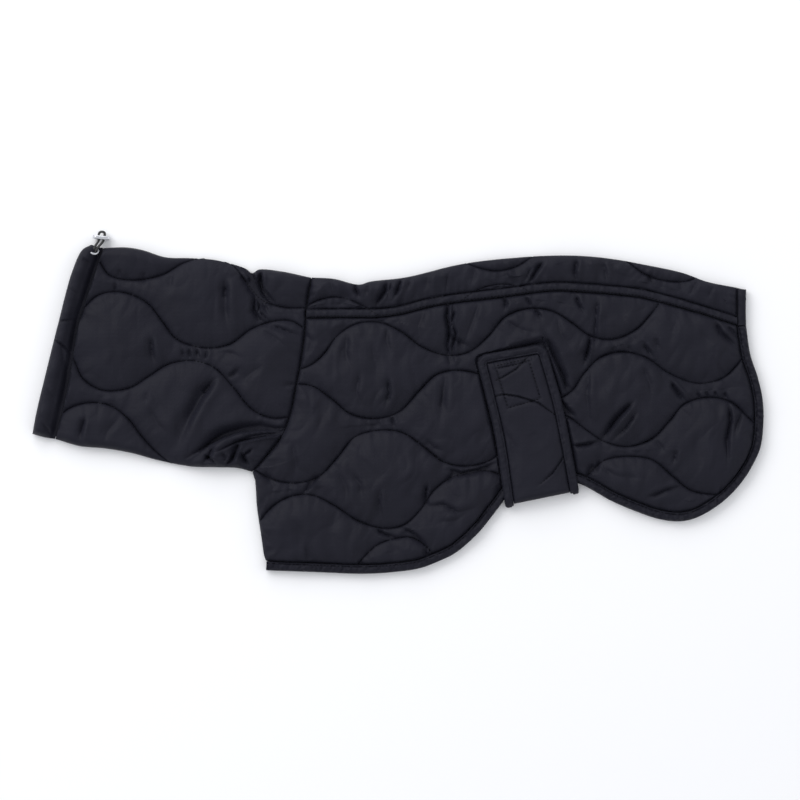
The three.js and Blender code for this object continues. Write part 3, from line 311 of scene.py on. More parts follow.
BODY_CREASES = creases(
    (2.8, 1.8, (45.5, 98.3), (44.1, 83), (46.4, 70.4), (44.1, 57.8), (46.8, 37.1)),
    (1.9, 1.5, (49.1, 95.6), (50.4, 85.7), (48.1, 77.6), (52.2, 67.7), (49.1, 56.9), (49.5, 38.9)),
    (2, 1.8, (95.4, 101), (97.2, 94.7), (95.4, 88.4)),
    (1.3, 1.9, (113.4, 101.9), (118.8, 94.7), (119.7, 89.3)),
    (1.8, 1.9, (123.3, 90.2), (128.7, 81.2)),
    (2, 2.1, (160.2, 101.9), (162, 94.7), (167.4, 85.7)),
    (1.7, 2.2, (179.1, 97.4), (177.3, 78.5), (176.4, 55.1)),
    (2.6, 1.8, (172.8, 65.9), (170.6, 53.3), (166.5, 38.9)),
    (4.4, 2.8, (151.2, 18), (148.6, 28), (143.1, 42), (136.5, 57), (130.5, 70)),
    (2.6, 2.6, (146.7, 6), (152.1, -1.2), (158.4, -6.3)),
    (1.8, 2.6, (44.1, 68), (52.2, 62), (64, 55.5)),
    (1.4, 3, (171, 33.5), (169.2, 11.9), (171.9, -13.3)),
    (3.4, 2.5, (210.6, 6.5), (196.2, -8.8), (181.8, -28.6)),
    (1.5, 2.1, (214.2, -2.5), (204.3, -16.9), (191.7, -28.6)),
    (1.2, 4, (219.6, 38.9), (225.9, 22.7), (226.8, 4.7)),
    (1.9, 2.2, (220.5, 58.7), (228.6, 47)),
    (1.1, 2.4, (231.3, 64.1), (233.1, 53.3)),
    (2.4, 2.2, (244.8, 24.5), (251.1, 15.5), (258.3, 6.5)),
    (2.5, 2.2, (297, 5.6), (298.4, -9.7), (295.2, -27.7), (295.2, -49.3)),
    (1.4, 2.4, (309.6, -2.5), (304.2, -13.3), (301.5, -24.1)),
    (1.2, 1.5, (269.1, 15.5), (271.8, 9.2)),
    (1.2, 1.5, (276.3, 16.4), (279, 10.1)),
    (1.2, 1.5, (284.4, 16.4), (286.2, 10.1)),
    (1.2, 1.7, (293.4, 15.5), (295.2, 8.3)),
    (2, 2.6, (284.4, 79.4), (289.8, 68.6), (304.2, 55.1)),
    (1.3, 2, (295.2, 74.9), (306, 64.1)),
    (0.9, 5, (271.8, 70.4), (277.2, 51.5), (271.8, 33.5)),
    (0.9, 4.6, (250.2, 82.1), (243, 60.5), (239.4, 44.3)),
    (1.5, 2.2, (250.2, -36.7), (246.6, -49.3)),
    (1, 2.6, (231.3, -27.7), (239.4, -38.5)),
    (1.8, 2.4, (224.1, -79), (240.3, -72.7), (256.5, -69.1)),
    (0.9, 3.4, (181.8, -52.9), (198, -60.1), (217.8, -61.9)),
    (2, 2, (175.5, -49.3), (169.2, -61.9)),
    (1.3, 1.8, (181.8, -45.7), (176.4, -58.3)),
    (2, 1.8, (156.6, -33.1), (168.3, -31.7), (181.8, -29)),
    (2.8, 1.9, (45.9, -53.8), (55.8, -58.3), (70.2, -55.6), (88.2, -48.4)),
    (1.4, 1.9, (51.3, -56.5), (43.2, -65.5)),
    (1.9, 4.4, (42.3, 31.7), (39.6, 8.3), (35.1, -18.7), (32.4, -33.1)),
    (1.1, 3.4, (24.3, -27.7), (32.4, -34.9), (43.2, -38.5)),
    (1.2, 4, (-45.9, 68.6), (-46.8, 51.5), (-43.2, 33.5)),
    (1.1, 2.8, (-10.8, 74.9), (-9.9, 60.5), (-6.3, 47.9)),
    (1.8, 2.8, (-9, 28.1), (-8.1, 13.7), (-12.6, -0.7)),
    (1.1, 4.6, (-24.3, 62.3), (-20.7, 38.9), (-21.6, 8.3)),
    (1.2, 3, (-34.2, 33.5), (-37.8, 15.5), (-32.4, 1.1)),
    (1.3, 1.7, (-5.4, -7), (-3.6, -16)),
    (0.9, 1.7, (-18, -8.8), (-17.1, -16.9)),
    (0.8, 1.6, (-28.8, -9.7), (-27, -18.7)),
    (1.1, 5.4, (-61.2, 6.5), (-72, -13.3), (-82.8, -38.5)),
    (2.2, 2, (-72, -60.1), (-78.3, -67.3), (-85.5, -76.3)),
    (0.9, 3.2, (-95.4, -27.7), (-91.8, -47.5), (-93.6, -63.7)),
    (0.9, 1.8, (-97.2, -67.3), (-99, -76.3)),
    (1.3, 3.4, (-41.4, -58.3), (-34.2, -67.3), (-32.4, -83.5)),
    (1.4, 3, (-16.2, -70.9), (-17.1, -87.1), (-14.4, -103.3)),
    (0.9, 3.6, (-54.9, -54.7), (-46.8, -70.9), (-44.1, -87.1)),
    (2, 1.9, (26.1, -67.3), (24.3, -78.1), (26.1, -87.1)),
    (1.6, 2.8, (28.8, -87.1), (40.5, -85.3), (53.1, -92.5), (68.4, -88.9)),
    (1, 3.2, (37.8, -101.5), (52.2, -99.7), (63, -92.5)),
    (1.8, 1.8, (-20.7, -107.8), (-11.7, -112.3), (0, -116.3)),
    (1.6, 2, (3.6, -106.9), (12.6, -110.5), (23.4, -120.4)),
    (1.5, 1.8, (23.4, -124.9), (27, -132.1)),
    (1, 2.6, (-79.2, -135.7), (-82.8, -119.5)),
    (0.8, 5.6, (-100.8, -97.9), (-88.2, -110.5), (-81, -126.7)),
    (1, 3, (-120.6, -54.7), (-111.6, -69.1), (-115.2, -81.7)),
    (0.9, 3, (-122.4, -111.4), (-113.4, -122.2)),
    (0.8, 5, (-55.8, -92.5), (-61.2, -110.5), (-57.6, -128.5)),
    (0.9, 3.4, (-86.4, 71.3), (-77.4, 60.5), (-82.8, 44.3)),
    (1.2, 3.4, (73.8, 98.3), (66.6, 78.5), (57.6, 55.1)),
    (0.9, 3.4, (24.3, 89.3), (18, 74.9), (19.8, 58.7)),
    (1, 3, (96.3, 79.4), (109.8, 71.3), (124.2, 67.7)),
    (1, 3.2, (142.2, 83.9), (145.8, 67.7), (157.5, 51.5)),
    (0.9, 1.6, (208.8, 51.5), (207, 58.7)),
    (0.8, 1.6, (194.4, 56.9), (193.5, 50.6)),
)

STRAP_QUILTING = creases(
    (1, 0.9, (80, 9), (88.2, 11.9), (94.5, 13.4), (108, 11.5), (126, 5.6), (138.6, -3.4),
     (150, -8.5)),
    (0.8, 0.9, (86, 25), (93.6, 28.6), (106.2, 36.2), (118, 48.5)),
    (1, 1, (152, -38), (146.7, -45.7), (138.6, -57.4), (125.1, -68.7)),
    (0.9, 4.5, (96, -20), (104, -34), (106, -52)),
    (0.8, 5, (120, -20), (128, -36)),
)


# Plain sums that several pieces share


def runs(path: Array) -> Array:
    """The distance along a path at each of its points."""
    return np.concatenate([[0.0], np.cumsum(np.linalg.norm(np.diff(path, axis=0), axis=1))])


def unit(vectors: Array) -> Array:
    """The vectors at a length of one."""
    return vectors / np.linalg.norm(vectors, axis=-1, keepdims=True)


def bell(distance: Array, width: float) -> Array:
    """A smooth bump of height one round zero."""
    return np.exp(-((distance / width) ** 2))


def quarter_round(t: Array) -> Array:
    """A rise from 0 to 1 that starts steep, as a quarter circle does."""
    return np.sqrt(1 - (1 - np.clip(t, 0, 1)) ** 2)


def smooth_step(t: Array) -> Array:
    """A soft rise from 0 to 1, level at both ends."""
    return np.clip(t, 0, 1) ** 2 * (3 - 2 * np.clip(t, 0, 1))


def hermite(t: Array, start: Array, end: Array, leave: Array, arrive: Array) -> Array:
    """A cubic from a start to an end.

    Args:
        t: shares of the way.
        start: where it starts.
        end: where it ends.
        leave: the slope at its start.
        arrive: the slope at its end.

    Returns:
        The values at t.
    """
    return (
        (2 * t**3 - 3 * t**2 + 1) * start + (t**3 - 2 * t**2 + t) * leave
        + (3 * t**2 - 2 * t**3) * end + (t**3 - t**2) * arrive
    )


# Curves and patches in plan


class Curve:
    """A smooth curve in plan through given points, read by the share of its length."""

    def __init__(self, rows: Sequence[Point], samples: int = 1600) -> None:
        """Threads the curve through its points.

        Args:
            rows: the points that the curve passes through, in mm.
            samples: how many short steps stand for the curve.
        """
        points = np.asarray(rows, float)
        padded = np.vstack([2 * points[0] - points[1], points, 2 * points[-1] - points[-2]])
        steps = max(6, samples // (len(points) - 1))
        parts = [self._segment(padded[k:k + 4], steps) for k in range(len(points) - 1)]
        self.points = np.vstack([*parts, points[-1:]])
        run = runs(self.points)
        self.length = float(run[-1])
        self.share = run / self.length

    @staticmethod
    def _segment(four: Array, steps: int) -> Array:
        """The centripetal stretch between the middle two of four points.

        Args:
            four: the four points.
            steps: how many points the stretch gets.

        Returns:
            The points, without the last end.
        """
        gaps = np.sqrt(np.hypot(*np.diff(four, axis=0).T))
        gaps = np.where(gaps < 1e-3, max(gaps[1], 1e-3), gaps)
        before, middle, after = gaps
        p0, p1, p2, p3 = four
        leave = middle * ((p1 - p0) / before - (p2 - p0) / (before + middle) + (p2 - p1) / middle)
        arrive = middle * ((p2 - p1) / middle - (p3 - p1) / (middle + after) + (p3 - p2) / after)
        return hermite(np.arange(steps)[:, None] / steps, p1, p2, leave, arrive)

    def at(self, t: Array | float) -> Array:
        """The points at these shares of the length, with x and y last."""
        t = np.clip(np.asarray(t, float), 0, 1)
        return np.stack([np.interp(t, self.share, self.points[:, k]) for k in (0, 1)], axis=-1)

    def side_of(self, t: Array | float, step: float = 0.003) -> Array:
        """Finds the directions across the curve.

        Args:
            t: shares of the length.
            step: the share before and after each one that gives the direction.

        Returns:
            Unit vectors to the left of the curve's direction.
        """
        along = unit(self.at(np.asarray(t) + step) - self.at(np.asarray(t) - step))
        return np.stack([-along[..., 1], along[..., 0]], axis=-1)

    def inwards(self, distance: float) -> Curve:
        """The curve moved to its left by a distance in mm."""
        t = np.linspace(0, 1, 161)
        return Curve(self.at(t) + distance * self.side_of(t))

    def shifted(self, dx: float, dy: float = 0.0) -> Curve:
        """The curve moved in the row frame."""
        return Curve(self.at(np.linspace(0, 1, 201)) + np.array([dx, dy]))

    def stretch(self, start: float, end: float) -> Curve:
        """The stretch between two shares of the length; it runs backwards if end is lower."""
        return Curve(self.at(np.linspace(start, end, 161)))


@dataclass(frozen=True)
class Patch:
    """A plan region between four curves: u runs along it, v from its upper to its lower curve."""

    upper: Curve
    lower: Curve
    start: Curve
    end: Curve

    def at(self, u: Array, v: Array) -> Array:
        """Finds the plan points of the patch.

        Args:
            u: shares along the patch.
            v: shares across it, which broadcast with u.

        Returns:
            The points, with x and y last.
        """
        u, v = np.broadcast_arrays(u, v)
        a, b = u[..., None], v[..., None]
        along = self.upper.at(u) * (1 - b) + self.lower.at(u) * b
        across = self.start.at(v) * (1 - a) + self.end.at(v) * a
        corners = (
            self.upper.at(0.0) * (1 - a) * (1 - b) + self.upper.at(1.0) * a * (1 - b)
            + self.lower.at(0.0) * (1 - a) * b + self.lower.at(1.0) * a * b
        )
        return along + across - corners

    def depth(self, u: Array) -> Array:
        """The straight distance from the upper to the lower curve."""
        return np.linalg.norm(self.at(u, np.zeros_like(u)) - self.at(u, np.ones_like(u)), axis=-1)


def bowed(start: Point, end: Point, bow: float) -> Curve:
    """A nearly straight edge.

    Args:
        start: its first point.
        end: its last point.
        bow: how far its middle is bent to its left, in mm.

    Returns:
        The edge.
    """
    a, b = np.asarray(start, float), np.asarray(end, float)
    along = unit(b - a)
    return Curve([a, (a + b) / 2 + bow * np.array([-along[1], along[0]]), b])


# Noise and quilting


class Noise:
    """Smooth gradient noise over two directions, about -1 to 1 and the same in each run."""

    SIZE = 4096
    STRENGTH = 1.5

    def __init__(self, seed: int) -> None:
        """Draws the pattern that belongs to the seed."""
        draw = np.random.default_rng(seed)
        self.angle = draw.uniform(0, 2 * math.pi, self.SIZE)
        self.order = draw.permutation(self.SIZE)

    def at(self, x: Array, y: Array) -> Array:
        """Reads the noise.

        Args:
            x: places in steps of its lattice.
            y: places in the other direction, which broadcast with x.

        Returns:
            The noise there.
        """
        x, y = np.broadcast_arrays(x, y)
        left, low = np.floor(x).astype(int), np.floor(y).astype(int)
        fx, fy = x - left, y - low
        pulls = {}
        for dx in (0, 1):
            row = self.order[(left + dx) % self.SIZE]
            for dy in (0, 1):
                angle = self.angle[(row + low + dy) % self.SIZE]
                pulls[dx, dy] = np.cos(angle) * (fx - dx) + np.sin(angle) * (fy - dy)
        ease_x, ease_y = (f**3 * (f * (6 * f - 15) + 10) for f in (fx, fy))
        lower = pulls[0, 0] + ease_x * (pulls[1, 0] - pulls[0, 0])
        upper = pulls[0, 1] + ease_x * (pulls[1, 1] - pulls[0, 1])
        return self.STRENGTH * (lower + ease_y * (upper - lower))


class StitchLine:
    """One quilting line, which parts the cloth above it from the cloth below."""

    SAMPLES = 1100

    def __init__(self, rows: Sequence[Point], shift: float = 0.0) -> None:
        """Lays the line and makes it quick to search.

        Args:
            rows: the listed points, from left to right, in mm.
            shift: how far the whole line is moved along X, in mm.
        """
        self.points = Curve([(x + shift, y) for x, y in rows], self.SAMPLES).points
        self.run = runs(self.points)
        self.step = float(np.diff(self.run).max())
        self.along = unit(np.gradient(self.points, axis=0))
        self.tree = KDTree(len(self.points))
        for k, (x, y) in enumerate(self.points):
            self.tree.insert((x, y, 0.0), k)
        self.tree.balance()

    def nearest(self, flat: Array) -> Array:
        """The number of the line's point that is nearest to each plan point."""
        find = self.tree.find
        return np.array([find((x, y, 0.0))[1] for x, y in flat.tolist()])

    def measure(self, xy: Array) -> tuple[Array, Array]:
        """Finds how plan points lie to the line.

        Args:
            xy: plan points, x and y last.

        Returns:
            The signed distance of each, positive above the line, and its place along the line.
        """
        flat = xy.reshape(-1, 2)
        nearest = self.nearest(flat)
        offset = flat - self.points[nearest]
        along = self.along[nearest]
        ahead = (offset * along).sum(axis=1)
        beside = along[:, 0] * offset[:, 1] - along[:, 1] * offset[:, 0]
        beyond = np.clip(np.abs(ahead) - self.step, 0, None)
        distance = np.where(beside >= 0, 1, -1) * np.hypot(beside, beyond)
        shape = xy.shape[:-1]
        return distance.reshape(shape), self.run[nearest].reshape(shape)


def from_lines(xy: Array, lines: Sequence[StitchLine]) -> Array:
    """The distance of plan points from the nearest of some stitched lines."""
    return np.min([np.abs(line.measure(xy)[0]) for line in lines], axis=0)


def snapped(xy: Array, lines: Sequence[StitchLine], step: float) -> Array:
    """Moves the points of a plan grid that lie nearest to stitched lines on to them.

    Args:
        xy: plan points, x and y last.
        lines: the stitched lines.
        step: the grid's step in mm.

    Returns:
        The moved points.
    """
    half_step = 0.51 * step
    moved = xy.reshape(-1, 2).copy()
    for line in lines:
        distance = np.abs(line.measure(moved)[0])
        close = np.flatnonzero(distance < step)
        nearest = line.nearest(moved[close])
        reach = half_step * np.abs(line.along[nearest]).max(axis=1)
        inside = distance[close] < reach
        moved[close[inside]] = line.points[nearest[inside]]
    return moved.reshape(xy.shape)


@dataclass
class Cell:
    """Where points lie between stitched lines: distances in mm, and the place along the line."""

    near: Array
    half: Array
    run: Array
    line: Array


def cell_of(xy: Array, edges: dict[str, Array], lines: Sequence[StitchLine]) -> Cell:
    """Finds each point's place in the quilting.

    Args:
        xy: plan points, x and y last.
        edges: distances to the panel's edges above, below and beside, and the runs along them.
        lines: the panel's quilting lines.

    Returns:
        The place of each point in its quilted cell.
    """
    above, below = edges["above"].copy(), edges["below"].copy()
    distances = [edges["above"], edges["below"], edges["side"]]
    apart = 500  # keeps the draws of one edge or line apart from the next one's
    places = [edges["along"], edges["along"] + apart, edges["down"] + 2 * apart]
    for k, line in enumerate(lines):
        offset, run = line.measure(xy)
        below = np.where(offset >= 0, np.minimum(below, offset), below)
        above = np.where(offset < 0, np.minimum(above, -offset), above)
        distances.append(np.abs(offset))
        places.append(run + 3 * apart * (k + 1))
    shape = xy.shape[:-1]
    stack = np.stack([np.broadcast_to(d, shape) for d in distances])
    nearest = np.argmin(stack, axis=0)
    stacked = np.stack([np.broadcast_to(p, shape) for p in places])
    place = np.take_along_axis(stacked, nearest[None], 0)[0]
    return Cell(stack.min(axis=0), np.maximum((above + below) / 2, 0.5), place, nearest)


@dataclass(frozen=True)
class Padding:
    """How the padding between two layers of nylon fills out and wrinkles, in mm.

    A cell's crown nears the loft where half its width is well past the reach. The groove is
    where a quilting line pulls, and the seam groove where an edge does.
    """

    loft: float = 11.0
    reach: float = 22.0
    power: float = 0.62
    groove: float = 0.45
    groove_width: float = 0.8
    seam_groove: float = 1.3
    pucker: float = 1.1
    drape: float = 1.6
    crinkle: float = 0.8
    seed: int = 11

    # Sizes of the waves: along X and Y, or along a seam and how far they reach from it
    SWELL = (48.0, 40.0)
    PUCKERS = (4.6, 5.5)
    GATHERS = (9.5, 13.0)
    SWAY = (35.0, 9.0)
    RIDGES = (15.0, 24.0)
    SOFT = (26.0, 60.0)
    HANGING = (13.0, 36.0)
    PULL = 22.0
    LANE = 30.0
    EDGES = 3

    def height(self, xy: Array, cell: Cell) -> Array:
        """Works out how high the cloth stands above its stitched lines.

        Args:
            xy: plan points, x and y last.
            cell: their places in the quilting.

        Returns:
            The heights.
        """
        x, y = xy[..., 0], xy[..., 1]
        slow, fine, folds = Noise(self.seed), Noise(self.seed + 1), Noise(self.seed + 2)
        inward = np.clip(cell.near / cell.half, 0, 1)
        swell = 1 + 0.14 * slow.at(x / self.SWELL[0], y / self.SWELL[1])
        crown = self.loft * (1 - np.exp(-cell.half / self.reach)) * swell
        puff = crown * (1 - (1 - inward) ** 2) ** self.power
        rise = 1 - np.exp(-cell.near / 1.5)
        lane = cell.near / self.LANE + 7.3 * cell.line
        tight = fine.at(cell.run / self.PUCKERS[0], lane) * np.exp(-cell.near / self.PUCKERS[1])
        loose = folds.at(cell.run / self.GATHERS[0], lane * 0.8) * np.exp(-cell.near / self.GATHERS[1])
        sway = self.SWAY[1] * slow.at(x / self.SWAY[0] + 9, y / self.SWAY[0] + 3)
        ridges = np.abs(folds.at((x + sway) / self.RIDGES[0], (y - sway) / self.RIDGES[1])) - 0.25
        soft = slow.at((x - y) / self.SOFT[0], (x + y) / self.SOFT[1] + 40)
        hanging = folds.at((x + sway) / self.HANGING[0] + 80, y / self.HANGING[1] + 70)
        broad = self.drape * (0.6 * loose + 0.45 * soft + 0.75 * hanging * inward)
        pull = self.groove * (1 + 0.6 * slow.at(cell.run / self.PULL, cell.line + 0.5))
        puff = puff - pull * bell(cell.near, self.groove_width)
        puff = puff - self.seam_groove * (cell.line < self.EDGES) * bell(cell.near, 1.3)
        return puff + rise * (self.pucker * tight + broad + self.crinkle * ridges)


def nearest_on(path: Array, points: Array) -> tuple[Array, Array, Array]:
    """Finds the places on a path of straight stretches that are nearest to plan points.

    Args:
        path: the path's corners.
        points: the plan points.

    Returns:
        The distance of each point, its share of the way along the path, and how far it lies to
        the left of the nearest stretch.
    """
    run = runs(path)
    away = np.full(len(points), 1e9)
    share, beside = np.zeros(len(points)), np.zeros(len(points))
    for k, length in enumerate(np.diff(run)):
        step = (path[k + 1] - path[k]) / length
        offset = points - path[k]
        along = np.clip(offset @ step, 0, length)
        distance = np.linalg.norm(offset - along[:, None] * step, axis=1)
        closer = distance < away
        beside = np.where(closer, step[0] * offset[:, 1] - step[1] * offset[:, 0], beside)
        away = np.where(closer, distance, away)
        share = np.where(closer, (run[k] + along) / run[-1], share)
    return away, share, beside


def crease_depth(xy: Array, creases: Sequence[Crease]) -> Array:
    """How far the creases press the cloth down.

    Each is steep to the left of its path, with a low ridge there, and gentle to its right. It
    starts quickly and fades slowly at its end, and a narrow one has a sharp core.

    Args:
        xy: plan points, x and y last.
        creases: the creases.

    Returns:
        The depth at each point, in mm.
    """
    reach = 4.0
    total = np.zeros(xy.shape[:-1])
    for crease in creases:
        path = np.asarray(crease.path, float)
        margin = reach * crease.width
        inside = np.all((xy > path.min(axis=0) - margin) & (xy < path.max(axis=0) + margin), axis=-1)
        if not inside.any():
            continue
        away, share, beside = nearest_on(path, xy[inside])
        fade = np.clip(np.minimum(share / 0.2, (1 - share) / 0.4), 0, 1)
        width = crease.width * (0.75 + 0.35 * share)
        core = 0.3 * bell(away, 0.4 * width) * (width < SOFT_CREASE)
        steep = bell(away, 0.9 * width) - 0.22 * bell(away / width - 1.9, 1.0)
        gentle = bell(away, 1.6 * width)
        left = 0.5 + 0.5 * np.tanh(beside / (0.5 * width))
        trough = (core + left * steep + (1 - left) * gentle) * (away < margin)
        total[inside] += CREASE_STRENGTH * crease.depth * (0.2 + 0.8 * fade) * trough
    return total


def rounded_at_fold(z: Array, distance: Array) -> Array:
    """The height of the near skin where it turns down over a folded edge."""
    return FOLD_HEIGHT + (z - FOLD_HEIGHT) * quarter_round(distance / FOLD_RADIUS)


def under_fold(distance: Array) -> Array:
    """The height of the far skin where it turns up to a folded edge."""
    return FOLD_HEIGHT * (1 - quarter_round(distance / FOLD_UNDER))


# Meshes


def grid_faces(ids: Array, around: bool) -> list[list[int]]:
    """Joins a grid of points.

    Args:
        ids: the points' numbers, as a grid.
        around: whether the grid closes round its second direction.

    Returns:
        The quads.
    """
    if around:
        ids = np.hstack([ids, ids[:, :1]])
    quads = np.stack([ids[:-1, :-1], ids[:-1, 1:], ids[1:, 1:], ids[1:, :-1]], axis=-1)
    return quads.reshape(-1, 4).tolist()


def skin_faces(ids: Array, heights: Array) -> list[list[int]]:
    """Joins a relief grid, whose quads across a valley are cut along it.

    Args:
        ids: the points' numbers, as a grid.
        heights: the points' heights, in mm.

    Returns:
        The quads and triangles.
    """
    level = 0.12
    parts = np.s_[:-1, :-1], np.s_[:-1, 1:], np.s_[1:, 1:], np.s_[1:, :-1]
    a, b, c, d = (heights[part] for part in parts)
    twist = (a + c - b - d).ravel()
    quads = np.stack([ids[part] for part in parts], axis=-1).reshape(-1, 4)
    flat = np.abs(twist) < level
    first, second = quads[(twist <= 0) & ~flat], quads[(twist > 0) & ~flat]
    triangles = np.vstack([
        first[:, [0, 1, 2]], first[:, [0, 2, 3]], second[:, [0, 1, 3]], second[:, [1, 2, 3]],
    ])
    return quads[flat].tolist() + triangles.tolist()


def rim_faces(outer: Array, inner: Array) -> list[list[int]]:
    """Joins a fine edge to a coarse one.

    Args:
        outer: the fine edge's point numbers.
        inner: the coarse edge's, with one step for each few fine ones.

    Returns:
        The faces between them.
    """
    each = (len(outer) - 1) // (len(inner) - 1)
    faces = []
    for k in range(len(inner) - 1):
        fine = outer[each * k:each * (k + 1) + 1][::-1]
        faces.append([*fine.tolist(), int(inner[k]), int(inner[k + 1])])
    return faces


def linked(name: str, data: bpy.types.ID) -> bpy.types.Object:
    """Puts an object in the scene.

    Args:
        name: its name.
        data: its mesh, curve, light or camera.

    Returns:
        The object.
    """
    piece = bpy.data.objects.new(name, data)
    bpy.context.scene.collection.objects.link(piece)
    return piece


def smoothed(mesh: bpy.types.Mesh, sharp: float, weld: bool = False) -> None:
    """Turns a mesh's faces outwards and shades it smooth.

    Args:
        mesh: the mesh.
        sharp: edges that bend by more degrees than this stay sharp.
        weld: whether points at one place become one.
    """
    work = bmesh.new()
    work.from_mesh(mesh)
    if weld:
        bmesh.ops.remove_doubles(work, verts=work.verts[:], dist=1e-6)
    bmesh.ops.recalc_face_normals(work, faces=work.faces[:])
    work.to_mesh(mesh)
    work.free()
    mesh.shade_smooth()
    mesh.set_sharp_from_angle(angle=math.radians(sharp))


def mesh_object(name: str, points: Array, faces: list[list[int]], sharp: float = 48.0) -> bpy.types.Object:
    """Makes a closed smooth mesh from points in mm.

    Args:
        name: the piece's name.
        points: the points, in mm.
        faces: point numbers of each face.
        sharp: edges that bend by more degrees than this stay sharp.

    Returns:
        The linked object, in metres.
    """
    mesh = bpy.data.meshes.new(name)
    mesh.from_pydata((points * MM).tolist(), [], faces)
    smoothed(mesh, sharp)
    return linked(name, mesh)


def shell(name: str, outer: Array, inner: Array, around: bool) -> bpy.types.Object:
    """Makes a closed wall between two grids whose edges have the same shape.

    Args:
        name: the piece's name.
        outer: the fine outer grid, in mm.
        inner: the coarser inner grid, in mm.
        around: whether the grids close round their second direction.

    Returns:
        The piece.
    """
    n, m = outer.shape[:2]
    p, q = inner.shape[:2]
    points = np.vstack([outer.reshape(-1, 3), inner.reshape(-1, 3)])
    out = np.arange(n * m).reshape(n, m)
    into = n * m + np.arange(p * q).reshape(p, q)
    wrapped = np.hstack([out, out[:, :1]]) if around else out
    heights = np.hstack([outer, outer[:, :1]])[..., 2] if around else outer[..., 2]
    faces = skin_faces(wrapped, heights) + grid_faces(into, around)
    for end in (0, -1):
        first, second = out[end], into[end]
        if around:
            first, second = np.append(first, first[0]), np.append(second, second[0])
        faces += rim_faces(first, second)
        if not around:
            faces += rim_faces(out[:, end], into[:, end])
    return mesh_object(name, points, faces)


def bar(name: str, rings: Array) -> bpy.types.Object:
    """Makes a closed bar through rings of points.

    Args:
        name: the piece's name.
        rings: a row of points for each ring, in mm.

    Returns:
        The piece.
    """
    ids = np.arange(rings.shape[0] * rings.shape[1]).reshape(rings.shape[:2])
    faces = grid_faces(ids, True) + [ids[0].tolist(), ids[-1][::-1].tolist()]
    return mesh_object(name, rings.reshape(-1, 3), faces)


class Surface:
    """The outer skin of a piece, for setting things down on it."""

    ABOVE = 90.0

    def __init__(self, outer: Array) -> None:
        """Makes the skin's grid, in mm, quick to search."""
        n, m = outer.shape[:2]
        faces = grid_faces(np.arange(n * m).reshape(n, m), False)
        self.tree = BVHTree.FromPolygons(outer.reshape(-1, 3).tolist(), faces)

    def height(self, x: float, y: float) -> float | None:
        """The height of the skin at a plan point, or None off the piece."""
        hit, _, _, _ = self.tree.ray_cast(Vector((x, y, self.ABOVE)), Vector((0, 0, -1)))
        return hit.z if hit else None


@dataclass(frozen=True)
class Thread:
    """A row of machine stitches: lengths in mm."""

    pitch: float = 3.1
    length: float = 2.5
    radius: float = 0.24
    sides: int = 5
    lift: float = -0.02

    # Along a stitch: its heights and its thickness, in radii
    RISE = (-0.9, 1.0, 1.0, -0.9)
    GIRTH = (0.55, 1.0, 1.0, 0.55)

    def row(self, path: Array, surface: Surface) -> list[Array]:
        """Lays stitches along a path, where the surface carries them.

        Args:
            path: plan points, in mm.
            surface: the skin below.

        Returns:
            The middle line of each stitch.
        """
        run = runs(path)
        rows = []
        for start in np.arange(self.pitch / 2, run[-1] - self.pitch, self.pitch):
            at = np.linspace(start, start + self.length, len(self.RISE))
            xy = np.stack([np.interp(at, run, path[:, k]) for k in (0, 1)], axis=-1)
            z = [surface.height(float(a), float(b)) for a, b in xy]
            if None in z:
                continue
            lift = self.lift + np.array(self.RISE) * self.radius
            rows.append(np.column_stack([xy, np.array(z) + lift]))
        return rows

    def mesh(self, name: str, rows: Sequence[Array]) -> bpy.types.Object:
        """Makes all the stitches, each a short closed tube.

        Args:
            name: the piece's name.
            rows: the middle line of each stitch.

        Returns:
            One mesh of them all.
        """
        points, faces = [], []
        angles = 2 * math.pi * np.arange(self.sides) / self.sides
        ends = len(self.RISE) - 1
        for line in rows:
            along = unit(line[-1] - line[0])
            side = unit(np.cross(along, [0, 0, 1.0]))
            up = np.cross(side, along)
            base = len(points)
            for centre, girth in zip(line, self.GIRTH):
                ring = np.cos(angles)[:, None] * side + np.sin(angles)[:, None] * up
                points.extend(centre + self.radius * girth * ring)
            ids = base + np.arange((ends + 1) * self.sides).reshape(ends + 1, self.sides)
            faces += grid_faces(ids, True)
            faces.append(ids[0][::-1].tolist())
            faces.append(ids[-1].tolist())
        return mesh_object(name, np.array(points), faces, 180.0)


# Finishes


def linear(hexadecimal: str) -> tuple[float, float, float, float]:
    """Turns a colour's sRGB hex value to linear.

    Args:
        hexadecimal: the value, such as "#15151e".

    Returns:
        Red, green, blue and alpha for a shader.
    """
    parts = [int(hexadecimal[k:k + 2], 16) / 255 for k in (1, 3, 5)]
    curved = [c / 12.92 if c <= 0.04045 else ((c + 0.055) / 1.055) ** 2.4 for c in parts]
    return (*curved, 1.0)


def new_material(name: str, sockets: dict) -> tuple[bpy.types.Material, bpy.types.Node]:
    """Makes a material.

    Args:
        name: its name.
        sockets: the shader's own sockets that get a value, with their values.

    Returns:
        The material and its shader.
    """
    material = bpy.data.materials.new(name)
    material.use_nodes = True
    shader = material.node_tree.nodes["Principled BSDF"]
    for socket, value in sockets.items():
        shader.inputs[socket].default_value = value
    return material, shader


def add_node(tree: bpy.types.NodeTree, kind: str, settings: dict | None = None,
             links: dict | None = None) -> bpy.types.Node:
    """Adds a node to a material.

    Args:
        tree: the material's node tree.
        kind: the node's type name.
        settings: attribute or input names, with their values.
        links: input names, each with the output socket that feeds it.

    Returns:
        The new node.
    """
    node = tree.nodes.new(kind)
    for name, value in (settings or {}).items():
        if isinstance(name, int) or name in node.inputs:
            node.inputs[name].default_value = value
        else:
            setattr(node, name, value)
    for name, socket in (links or {}).items():
        tree.links.new(socket, node.inputs[name])
    return node


